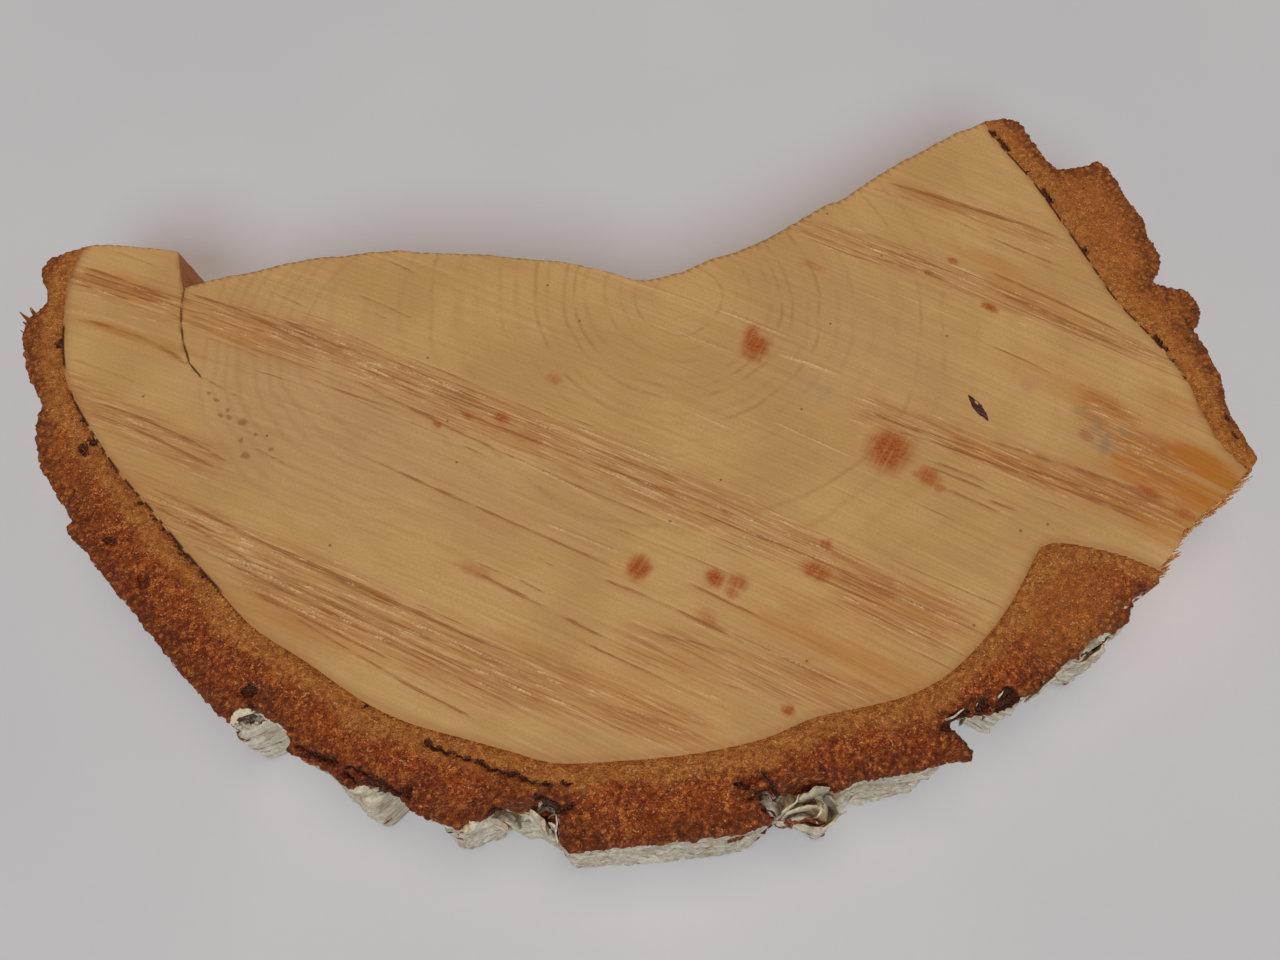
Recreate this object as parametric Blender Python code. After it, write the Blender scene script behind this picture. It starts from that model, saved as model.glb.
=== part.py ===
"""Slice of a small log, split along its back edge and broken off at its right end.

Three solids: the wood body, the long strip of bark round its left side and bottom, and the short strip of
bark on its upper right. The origin is at the middle of the slice's box, on the underside, with +Z up.
"""

import math

import bmesh
import bpy
import numpy as np
from mathutils import Euler, Matrix, Vector, geometry, noise

MM = 0.001

# Driving dimensions
LENGTH = 150.0 * MM
DEPTH = 96.8 * MM
THICKNESS = 16.0 * MM
SEAM_GAP = 0.3 * MM
CRACK_WIDTH = 0.5 * MM

# Heights of the rings that a side wall is made of, as shares of the thickness
LEVELS = (0.0, 0.14, 0.33, 0.55, 0.76, 0.92, 1.0)

# Distance between neighbouring points along an outline
SEAM_STEP = 1.7 * MM
BARK_STEP = 1.15 * MM
SPLIT_STEP = 1.5 * MM
BREAK_STEP = 0.8 * MM

# Outlines of the sawn face, in millimetres from the middle of the slice, each in counter-clockwise order
LOWER_SEAM = (
    (-69.9, 26.4), (-70.9, 21.4), (-70.3, 16.0), (-69.2, 10.3), (-67.2, 5.0), (-63.9, 0.1),
    (-59.3, -5.7), (-54.2, -10.9), (-49.3, -16.1), (-44.8, -20.5), (-40.3, -24.8), (-33.9, -28.7),
    (-27.6, -32.8), (-22.4, -35.2), (-16.6, -36.8), (-11.4, -38.2), (-6.9, -39.4), (-1.5, -39.3),
    (5.0, -38.8), (10.0, -38.1), (15.5, -36.8), (20.6, -34.7), (25.8, -33.6), (30.6, -32.4),
    (34.8, -30.4), (38.7, -27.2), (42.6, -22.9), (45.8, -18.2), (47.6, -15.4), (50.2, -14.8),
    (56.4, -16.2), (60.5, -18.1),
)  # fmt: skip
UPPER_SEAM = (
    (73.4, -5.8), (70.8, -1.6), (69.6, 2.9), (68.8, 6.9), (66.4, 11.9), (62.6, 18.1),
    (60.0, 24.8), (57.7, 30.6), (55.3, 36.5), (52.6, 41.6), (50.8, 44.8), (49.8, 47.6),
)  # fmt: skip
RIGHT_BREAK = (
    (60.5, -18.1), (61.3, -17.1), (62.4, -16.0), (63.5, -14.7), (64.1, -13.3), (65.5, -12.3),
    (67.1, -11.1), (68.7, -10.0), (70.0, -8.9), (71.3, -7.7), (72.3, -6.6), (73.4, -5.8),
)  # fmt: skip
BACK_SPLIT = (
    (49.8, 47.6), (48.5, 47.0), (45.5, 45.5), (42.0, 43.5), (40.0, 42.0), (38.0, 40.8),
    (36.0, 39.4), (34.0, 38.0), (32.0, 36.5), (30.0, 34.8), (28.0, 33.5), (26.5, 33.0),
    (24.5, 31.5), (22.2, 30.0), (20.0, 28.5), (17.0, 26.8), (14.0, 25.3), (11.0, 24.3),
    (8.0, 22.6), (4.0, 21.3), (2.0, 21.0), (-1.0, 22.2), (-5.0, 23.3), (-8.5, 24.2),
    (-15.0, 24.9), (-20.0, 25.2), (-25.0, 25.5), (-30.0, 25.8), (-33.2, 25.5), (-38.0, 24.8),
    (-43.5, 23.8), (-47.0, 22.7), (-50.0, 21.9), (-53.2, 21.1),
)  # fmt: skip
NOTCH_LIP = ((-57.8, 25.6), (-58.4, 26.0), (-60.6, 26.2), (-65.5, 26.6), (-67.4, 26.7), (-69.9, 26.4))
CRACK = ((-55.9, 20.0), (-55.8, 17.5), (-55.3, 14.6), (-54.6, 12.0), (-53.2, 8.8), (-51.4, 6.8))
LOWER_BARK = (
    (-70.5, 26.3), (-71.6, 26.0), (-72.7, 25.6), (-73.9, 24.8), (-74.7, 23.7), (-74.8, 22.4),
    (-74.3, 21.1), (-73.2, 19.5), (-73.0, 17.4), (-74.1, 16.3), (-75.0, 15.4), (-74.9, 12.4),
    (-74.3, 10.8), (-73.1, 7.6), (-72.5, 6.4), (-71.8, 5.6), (-71.0, 4.3), (-70.0, 2.9),
    (-70.4, 1.9), (-70.0, -0.3), (-70.0, -1.4), (-69.0, -4.2), (-67.6, -6.3), (-65.5, -9.2),
    (-63.7, -11.1), (-62.9, -12.1), (-63.6, -12.8), (-63.4, -13.6), (-61.5, -15.2), (-59.7, -17.1),
    (-57.7, -19.3), (-55.8, -21.0), (-54.2, -22.4), (-52.7, -24.5), (-49.0, -28.2), (-46.1, -31.1),
    (-43.2, -33.7), (-41.1, -35.5), (-40.1, -34.8), (-39.3, -34.1), (-37.6, -34.5), (-35.6, -35.8),
    (-34.5, -36.9), (-35.0, -38.3), (-32.7, -39.1), (-29.5, -40.9), (-27.5, -42.4), (-26.6, -41.7),
    (-24.2, -42.4), (-21.8, -43.2), (-21.2, -44.4), (-19.8, -45.0), (-17.6, -45.6), (-15.3, -46.4),
    (-14.6, -45.6), (-13.5, -45.0), (-12.6, -44.3), (-10.8, -43.8), (-9.3, -44.2), (-8.1, -43.3),
    (-6.5, -43.5), (-6.6, -44.6), (-5.9, -46.0), (-5.8, -47.6), (-5.2, -48.4), (-1.5, -48.0),
    (3.2, -47.6), (10.0, -46.8), (14.5, -46.0), (16.0, -45.2), (15.4, -44.0), (14.0, -43.1),
    (14.7, -42.2), (16.3, -43.0), (17.6, -42.4), (19.2, -42.3), (20.8, -41.9), (22.3, -42.3),
    (26.8, -41.0), (31.3, -40.2), (35.5, -39.4), (37.3, -39.1), (36.4, -37.4), (35.5, -36.1),
    (34.7, -35.4), (36.3, -34.6), (38.0, -34.4), (40.0, -34.5), (41.7, -33.6), (44.5, -32.1),
    (47.1, -30.3), (48.7, -28.5), (50.6, -28.2), (53.5, -26.0), (56.1, -23.7), (57.1, -21.4),
    (58.6, -20.4), (60.3, -19.7),
)  # fmt: skip
UPPER_BARK = (
    (74.3, -5.1), (75.0, -4.2), (74.1, -1.5), (73.5, 0.6), (72.9, 2.9), (73.2, 5.2),
    (73.1, 7.1), (72.4, 10.0), (72.1, 11.6), (71.4, 13.2), (71.2, 14.4), (72.3, 15.0),
    (72.8, 16.2), (72.7, 17.7), (72.1, 19.1), (71.2, 20.0), (69.0, 20.0), (67.6, 20.8),
    (68.2, 22.1), (69.2, 23.2), (69.4, 25.2), (68.9, 26.8), (68.4, 30.6), (67.1, 34.5),
    (65.8, 38.9), (64.9, 40.3), (63.9, 40.9), (62.4, 39.9), (60.6, 39.6), (58.2, 39.5),
    (56.3, 43.5), (55.0, 46.9), (53.8, 48.4), (52.6, 48.4), (51.3, 48.1), (50.4, 47.9),
)  # fmt: skip

# Broken cork blocks, lower than the sawn face: x, y, height of the top, half length, half width, turn in degrees
CORK_BLOCKS = (
    (-39.3, -35.8, 12.6, 2.9, 1.7, -38.0),
    (-36.6, -37.4, 10.5, 1.5, 1.1, -30.0),
    (-25.7, -42.9, 12.2, 2.7, 1.3, -30.0),
    (-14.4, -45.6, 13.2, 1.2, 1.3, -20.0),
    (-12.2, -45.0, 10.8, 1.8, 1.2, -32.0),
    (-9.4, -45.0, 8.8, 2.2, 1.6, 10.0),
    (19.8, -43.5, 13.2, 2.6, 2.1, 12.0),
    (39.6, -34.0, 12.4, 2.4, 1.2, 32.0),
    (51.9, -27.0, 13.4, 3.2, 1.3, 38.0),
)
CORK_BLOCK_FOOT = -2.5 * MM
CORK_BLOCK_SPREAD = 0.35
CORK_BLOCK_SQUARENESS = 0.6
CORK_BLOCK_UNEVENNESS = 0.28

# Dark pits in the sawn face of the bark: x, y, half length, half width, depth, turn in degrees
BARK_PITS = (
    (-63.7, -2.8, 1.2, 0.6, 1.4, -62.0),
    (-64.3, -8.0, 1.5, 0.4, 0.9, -35.0),
    (-58.3, -14.3, 1.7, 0.6, 1.5, -38.0),
    (-53.7, -19.3, 1.4, 0.8, 1.4, -55.0),
    (-39.8, -31.9, 1.3, 0.9, 2.4, -15.0),
    (-11.6, -41.1, 1.9, 0.3, 0.8, -20.0),
    (13.4, -41.2, 1.5, 0.5, 1.5, 28.0),
    (37.2, -33.0, 1.5, 0.4, 1.2, 38.0),
    (41.0, -32.2, 1.3, 0.5, 1.4, 45.0),
)
BARK_PIT_SQUARENESS = 0.9
BARK_PIT_UNEVENNESS = 0.3
LUMP_NOISE_SCALE = 1.7
LUMP_SEED_STEP = 7.3

# Relief of the bark's outer side. A patch is the size of one swell of it, along the wall and up the wall
CORK_FLARE = 0.9 * MM
CORK_FLARE_SHARE = 0.6
CORK_FLARE_CHANGE = 0.8
CORK_FLARE_PATCH = (11 * MM, 40 * MM)
CORK_BULGE = 0.55 * MM
CORK_BULGE_PATCH = (4.5 * MM, 6 * MM)
CORK_GRAIN = 0.30 * MM
CORK_GRAIN_PATCH = (1.6 * MM, 2.6 * MM)
CORK_FISSURE_DEPTH = 0.7 * MM
CORK_FISSURE_PITCH = 8.5 * MM
CORK_FISSURE_SHARPNESS = 0.22
CORK_FISSURE_DRIFT = 0.35
CORK_FISSURE_PATCH = (9 * MM, 30 * MM)
CORK_FADE = 2.5 * MM
CORK_SEED = {"bark_lower": 3.5, "bark_upper": 17.5}

# Relief of the split back and of the broken right end
SPLIT_FURROW = 0.45 * MM
SPLIT_FURROW_PATCH = (2.4 * MM, 40 * MM)
SPLIT_SWELL = 0.7 * MM
SPLIT_SWELL_PATCH = (13 * MM, 20 * MM)
SPLIT_FADE = 4 * MM
SPLIT_SEED = 41.5
BREAK_SPLINTER = 0.6 * MM
BREAK_SPLINTER_BASE = 0.45
BREAK_SPLINTER_PATCH = (0.9 * MM, 9 * MM)
BREAK_FADE = 1.5 * MM
BREAK_SEED = 31.5

# How much of the relief shows at the sawn edge, and how fast it grows below it
EDGE_RELIEF = 0.2
RELIEF_GROWTH = 3.0

NOTCH_LEAN = 3.0 * MM
NOTCH_LEAN_REACH = 9 * MM
BOX_REACH = 2.5 * MM
RECESS_RELIEF = 0.15
CURVE_POINTS = 8

WOOD_COLOUR = (0.60, 0.34, 0.13, 1.0)
BARK_COLOUR = (0.26, 0.08, 0.025, 1.0)
WOOD_ROUGHNESS = 0.6
BARK_ROUGHNESS = 0.85
SMOOTH_ANGLE = math.radians(38.0)


def clear_scene():
    for thing in list(bpy.data.objects):
        bpy.data.objects.remove(thing, do_unlink=True)


def make_material(name, colour, roughness):
    material = bpy.data.materials.new(name)
    material.use_nodes = True
    shader = material.node_tree.nodes["Principled BSDF"]
    shader.inputs["Base Color"].default_value = colour
    shader.inputs["Roughness"].default_value = roughness
    shader.inputs["Metallic"].default_value = 0.0
    return material


def resampled(points, step):
    """Points an even distance apart along a chain, with its two ends kept."""
    lengths = np.linalg.norm(np.diff(points, axis=0), axis=1)
    along = np.concatenate([[0.0], np.cumsum(lengths)])
    count = max(2, int(round(along[-1] / step)) + 1)
    wanted = np.linspace(0.0, along[-1], count)
    return np.stack([np.interp(wanted, along, points[:, axis]) for axis in (0, 1)], axis=1)


def straight_chain(outline, step):
    return resampled(np.array(outline) * MM, step)


def smooth_chain(outline, step):
    """Evenly spaced points on a Catmull-Rom curve through the outline's points."""
    points = np.array(outline) * MM
    padded = np.vstack([2 * points[0] - points[1], points, 2 * points[-1] - points[-2]])
    share = (np.arange(CURVE_POINTS) / CURVE_POINTS)[:, None]
    pieces = []
    for before, start, end, after in zip(padded, padded[1:], padded[2:], padded[3:]):
        bend = 2 * before - 5 * start + 4 * end - after
        twist = 3 * start - before - 3 * end + after
        pieces.append(start + 0.5 * share * ((end - before) + share * (bend + share * twist)))
    return resampled(np.vstack(pieces + [points[-1:]]), step)


def outward_normals(chain):
    """Unit normals on the right-hand side of a counter-clockwise chain."""
    run = np.gradient(chain, axis=0)
    normals = np.stack([run[:, 1], -run[:, 0]], axis=1)
    return normals / np.linalg.norm(normals, axis=1, keepdims=True)


def distance_along(chain):
    lengths = np.linalg.norm(np.diff(chain, axis=0), axis=1)
    return np.concatenate([[0.0], np.cumsum(lengths)])


def wave(along, height, patch, seed):
    """Smooth noise between -1 and 1 over a wall, at each station for one height."""
    upward = height / patch[1]
    return np.array([noise.noise(Vector((station / patch[0], upward, seed))) for station in along])


def share_below(height):
    """0 at the sawn top face, 1 at the underside."""
    return 1.0 - height / THICKNESS


def relief_share(height):
    return min(1.0, EDGE_RELIEF + RELIEF_GROWTH * share_below(height))


def openness(chain):
    """1 on a stretch that runs straight, and little deep inside a narrow recess."""
    normals = outward_normals(chain)
    before = np.vstack([normals[:1], normals[:1], normals[:-2]])
    after = np.vstack([normals[2:], normals[-1:], normals[-1:]])
    return np.clip(np.sum(before * after, axis=1), RECESS_RELIEF, 1.0)


def room(chain):
    """0 where the chain touches the slice's box, up to 1 further in, so that no relief leaves the box."""
    limit = np.array([LENGTH / 2, DEPTH / 2])
    return np.clip(np.min(limit - np.abs(chain), axis=1) / BOX_REACH, 0.0, 1.0)


def faded_ends(along, reach):
    """1 along the chain, falling to 0 over the given reach at both of its ends."""
    nearest = np.minimum(along, along[-1] - along)
    return np.clip(nearest / reach, 0.0, 1.0)


def cork_wall(chain, height, seed):
    """Outer side of the bark: flares out downwards, with bulging plates, grain and upright fissures."""
    along = distance_along(chain)
    flare_share = CORK_FLARE_SHARE + CORK_FLARE_CHANGE * wave(along, 0.0, CORK_FLARE_PATCH, seed)
    flare = CORK_FLARE * share_below(height) * flare_share
    bulge = CORK_BULGE * wave(along, height, CORK_BULGE_PATCH, seed + 1)
    grain = CORK_GRAIN * wave(along, height, CORK_GRAIN_PATCH, seed + 2)
    drift = CORK_FISSURE_DRIFT * wave(along, height, CORK_FISSURE_PATCH, seed + 3)
    from_fissure = np.abs(np.sin(math.pi * (along / CORK_FISSURE_PITCH + drift)))
    fissure = -CORK_FISSURE_DEPTH * np.exp(-((from_fissure / CORK_FISSURE_SHARPNESS) ** 2))
    offset = flare + (bulge + grain + fissure) * relief_share(height)
    offset = offset * openness(chain) * room(chain) * faded_ends(along, CORK_FADE)
    return chain + outward_normals(chain) * offset[:, None]


def split_wall(chain, height):
    """Back of the slice, split along the grain: upright furrows that swell a little on the way down."""
    along = distance_along(chain)
    furrow = SPLIT_FURROW * wave(along, height, SPLIT_FURROW_PATCH, SPLIT_SEED)
    swell = SPLIT_SWELL * wave(along, height, SPLIT_SWELL_PATCH, SPLIT_SEED + 1)
    offset = furrow * relief_share(height) + swell * share_below(height)
    offset = offset * faded_ends(along, SPLIT_FADE)
    return chain + outward_normals(chain) * offset[:, None]


def broken_wall(chain, height):
    """Right end, torn off: splinters that stand out below the sawn face."""
    along = distance_along(chain)
    splinter = BREAK_SPLINTER_BASE + np.abs(wave(along, height, BREAK_SPLINTER_PATCH, BREAK_SEED))
    offset = BREAK_SPLINTER * splinter * relief_share(height) * faded_ends(along, BREAK_FADE)
    return chain + outward_normals(chain) * offset[:, None]


def leaning_lip(chain, height):
    """Side of the notch: its far corner leans over towards the notch on the way down."""
    reach = np.clip(1.0 - distance_along(chain) / NOTCH_LEAN_REACH, 0.0, 1.0)
    lean = np.zeros_like(chain)
    lean[:, 0] = NOTCH_LEAN * share_below(height) * reach
    return chain + lean


def crack_sides():
    """The two sides of the drying crack, down to its tip and back up, narrowing all the way."""
    middle = smooth_chain(CRACK, SPLIT_STEP)
    share = np.linspace(1.0, 0.0, len(middle))
    half = outward_normals(middle) * (CRACK_WIDTH / 2 * share)[:, None]
    right_side = middle - half
    left_side = middle + half
    return right_side, left_side[-2::-1]


def wood_ring(height):
    lower_seam = smooth_chain(LOWER_SEAM, SEAM_STEP)
    upper_seam = smooth_chain(UPPER_SEAM, SEAM_STEP)
    right_break = broken_wall(straight_chain(RIGHT_BREAK, BREAK_STEP), height)
    back_split = split_wall(straight_chain(BACK_SPLIT, SPLIT_STEP), height)
    crack_down, crack_up = crack_sides()
    lip = leaning_lip(straight_chain(NOTCH_LIP, SPLIT_STEP), height)
    chains = [lower_seam[:-1], right_break[:-1], upper_seam[:-1], back_split, crack_down, crack_up, lip[:-1]]
    return np.vstack(chains)


def bark_inner_side(seam):
    """The bark's side that faces the wood, one gap away from the seam, running back along it."""
    chain = smooth_chain(seam, SEAM_STEP)
    return (chain + outward_normals(chain) * SEAM_GAP)[::-1]


def lower_bark_ring(height):
    outer = cork_wall(straight_chain(LOWER_BARK, BARK_STEP), height, CORK_SEED["bark_lower"])
    return np.vstack([outer, bark_inner_side(LOWER_SEAM)])


def upper_bark_ring(height):
    outer = cork_wall(straight_chain(UPPER_BARK, BARK_STEP), height, CORK_SEED["bark_upper"])
    return np.vstack([outer, bark_inner_side(UPPER_SEAM)])


def loft(name, ring_at, material):
    """Closed solid through one ring of points for each level, with flat sawn faces at both ends."""
    mesh = bmesh.new()
    rings = []
    for level in LEVELS:
        height = level * THICKNESS
        rings.append([mesh.verts.new((x, y, height)) for x, y in ring_at(height)])
    for low, high in zip(rings, rings[1:]):
        for near in range(len(low)):
            far = (near + 1) % len(low)
            mesh.faces.new((low[near], low[far], high[far], high[near]))
    fill_face(mesh, rings[-1], upward=True)
    fill_face(mesh, rings[0], upward=False)
    return make_object(name, mesh, material)


def fill_face(mesh, ring, upward):
    """Flat sawn face across one ring, worked out at a scale of millimetres."""
    flat = [Vector((vertex.co.x / MM, vertex.co.y / MM, 0.0)) for vertex in ring]
    for corners in geometry.tessellate_polygon([flat]):
        first, second, third = (flat[corner] for corner in corners)
        turns_left = (second - first).cross(third - first).z > 0
        ordered = corners if turns_left == upward else corners[::-1]
        mesh.faces.new([ring[corner] for corner in ordered])


def make_object(name, mesh, material):
    bmesh.ops.triangulate(mesh, faces=mesh.faces[:])
    data = bpy.data.meshes.new(name)
    mesh.to_mesh(data)
    mesh.free()
    if material:
        data.materials.append(material)
    solid = bpy.data.objects.new(name, data)
    bpy.context.scene.collection.objects.link(solid)
    return solid


def rough_lump(centre, half_sizes, turn, squareness, unevenness, seed, fineness):
    """Rounded block with an uneven surface, turned about the upright axis. Low squareness makes it boxy."""
    mesh = bmesh.new()
    bmesh.ops.create_icosphere(mesh, subdivisions=fineness, radius=1.0)
    place = Matrix.Translation(Vector(centre)) @ Euler((0.0, 0.0, math.radians(turn))).to_matrix().to_4x4()
    for vertex in mesh.verts:
        swollen = Vector([math.copysign(abs(value) ** squareness, value) for value in vertex.co])
        uneven = 1.0 + unevenness * noise.noise(vertex.co * LUMP_NOISE_SCALE + Vector((seed, 0.0, 0.0)))
        vertex.co = place @ Vector([value * half * uneven for value, half in zip(swollen, half_sizes)])
    return mesh


def cork_block(number, x, y, top, half_length, half_width, turn):
    half_height = (top * MM - CORK_BLOCK_FOOT) / 2
    centre = Vector((x * MM, y * MM, CORK_BLOCK_FOOT + half_height))
    half_sizes = (half_length * MM, half_width * MM, half_height)
    seed = LUMP_SEED_STEP * number
    mesh = rough_lump(
        centre, half_sizes, turn, CORK_BLOCK_SQUARENESS, CORK_BLOCK_UNEVENNESS, seed, fineness=2
    )
    for vertex in mesh.verts:
        vertex.co.z = max(vertex.co.z, 0.0)
        wider = 1.0 + CORK_BLOCK_SPREAD * (1.0 - vertex.co.z / (top * MM))
        vertex.co.xy = centre.xy + (vertex.co.xy - centre.xy) * wider
    return make_object(f"cork_block_{number}", mesh, None)


def bark_pit(number, x, y, half_length, half_width, depth, turn):
    centre = (x * MM, y * MM, THICKNESS)
    half_sizes = (half_length * MM, half_width * MM, depth * MM)
    seed = LUMP_SEED_STEP * number
    mesh = rough_lump(centre, half_sizes, turn, BARK_PIT_SQUARENESS, BARK_PIT_UNEVENNESS, seed, fineness=1)
    return make_object(f"bark_pit_{number}", mesh, None)


def combine(target, pieces, operation):
    """Joins the pieces to the target, or cuts them from it, and removes them."""
    group = bpy.data.collections.new("pieces")
    bpy.context.scene.collection.children.link(group)
    for piece in pieces:
        group.objects.link(piece)
    boolean = target.modifiers.new("combine", "BOOLEAN")
    boolean.operation = operation
    boolean.operand_type = "COLLECTION"
    boolean.collection = group
    bpy.context.view_layer.update()
    result = target.evaluated_get(bpy.context.evaluated_depsgraph_get())
    target.data = bpy.data.meshes.new_from_object(result)
    target.modifiers.remove(boolean)
    for piece in pieces:
        bpy.data.objects.remove(piece, do_unlink=True)
    bpy.data.collections.remove(group)


def shade(solid):
    solid.data.shade_smooth()
    solid.data.set_sharp_from_angle(angle=SMOOTH_ANGLE)


def main():
    clear_scene()
    wood_finish = make_material("wood", WOOD_COLOUR, WOOD_ROUGHNESS)
    bark_finish = make_material("bark", BARK_COLOUR, BARK_ROUGHNESS)
    wood = loft("wood", wood_ring, wood_finish)
    lower_bark = loft("bark_lower", lower_bark_ring, bark_finish)
    upper_bark = loft("bark_upper", upper_bark_ring, bark_finish)
    combine(lower_bark, [cork_block(number, *block) for number, block in enumerate(CORK_BLOCKS)], "UNION")
    combine(lower_bark, [bark_pit(number, *pit) for number, pit in enumerate(BARK_PITS)], "DIFFERENCE")
    for solid in (wood, lower_bark, upper_bark):
        shade(solid)


main()
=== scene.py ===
"""Visual model of a slice of a small log: sawn wood, thick plated bark, broken and split edges."""

import itertools
import math

import bmesh
import bpy
import numpy as np
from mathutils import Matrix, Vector


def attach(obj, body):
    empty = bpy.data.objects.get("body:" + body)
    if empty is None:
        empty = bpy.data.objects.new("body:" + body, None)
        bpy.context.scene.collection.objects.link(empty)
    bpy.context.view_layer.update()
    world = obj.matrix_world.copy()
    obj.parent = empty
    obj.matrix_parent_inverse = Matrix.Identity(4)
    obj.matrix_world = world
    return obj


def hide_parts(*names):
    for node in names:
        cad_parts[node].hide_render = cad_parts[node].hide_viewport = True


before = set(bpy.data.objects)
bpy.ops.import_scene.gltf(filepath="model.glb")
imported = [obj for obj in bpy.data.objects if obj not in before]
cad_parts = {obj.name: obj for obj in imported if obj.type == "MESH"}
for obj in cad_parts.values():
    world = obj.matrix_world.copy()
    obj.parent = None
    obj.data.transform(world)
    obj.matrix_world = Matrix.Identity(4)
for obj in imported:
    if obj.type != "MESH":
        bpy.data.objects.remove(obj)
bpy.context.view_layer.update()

# Sizes are in millimetres, in the row frame, and turn into metres where a mesh is made
MM = 0.001
THICKNESS = 16.0

# Screen colours turn into surface colours by this gain, which undoes the light's
LIGHT_GAIN = (1.476, 1.566, 1.603)
SHARP_ANGLE = 50.0

# Floor, lamps, world and camera, in metres. A lamp has a name, place, power, size and colour
FLOOR_HALF = 0.9
FLOOR_TONES = ((0.735, 0.732, 0.75, 1.0), (0.765, 0.762, 0.775, 1.0))
LAMPS = (
    ("key", (-0.1, -2.0, 2.0), 37.0, 1.35, (0.74, 0.88, 1.0)),
    ("overhead", (0.0, 0.05, 1.7), 10.8, 1.08, (1.0, 0.79, 0.66)),
)
WORLD_COLOUR = (0.96, 0.97, 1.0, 1.0)
WORLD_STRENGTH = 0.1
CAMERA_PLACE = (0.00216, -0.0596, 0.12872)
CAMERA_TILT = 25.0
CAMERA_LENS = 30.0
CAMERA_SENSOR = 36.0

# Tones of the sawn bark, of its inner layer and of the cork: values of the grain and their screen colours
OUTER_TONES = ((0.38, (85, 31, 9)), (0.46, (118, 49, 13)), (0.54, (143, 67, 20)), (0.64, (187, 108, 46)))
INNER_TONES = ((0.38, (128, 68, 25)), (0.5, (155, 92, 37)), (0.62, (176, 113, 53)))
CORK_TONES = ((0.36, (140, 120, 98)), (0.46, (176, 157, 134)), (0.6, (203, 186, 163)))

# The saw ran along gentle arcs. A place's distance across them is y + SAW_SLOPE x + SAW_BEND x²
SAW_SLOPE = 0.47
SAW_BEND = 0.0009

# The wood's top is cut from a slab with a fine grid along and across the arcs: its steps, foot and reach
SAW_STEP_ALONG = 1.0
SAW_STEP_ACROSS = 0.11
SLAB_FOOT = -3.0
SLAB_X = (-78.0, 78.0)
SLAB_ACROSS = (-78.0, 92.0)

# The prism that cuts it rises this far above the top. Streaks are drawn at this share of their width
PRISM_LIFT = 3.0
STREAK_WIDTH = 0.78

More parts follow.
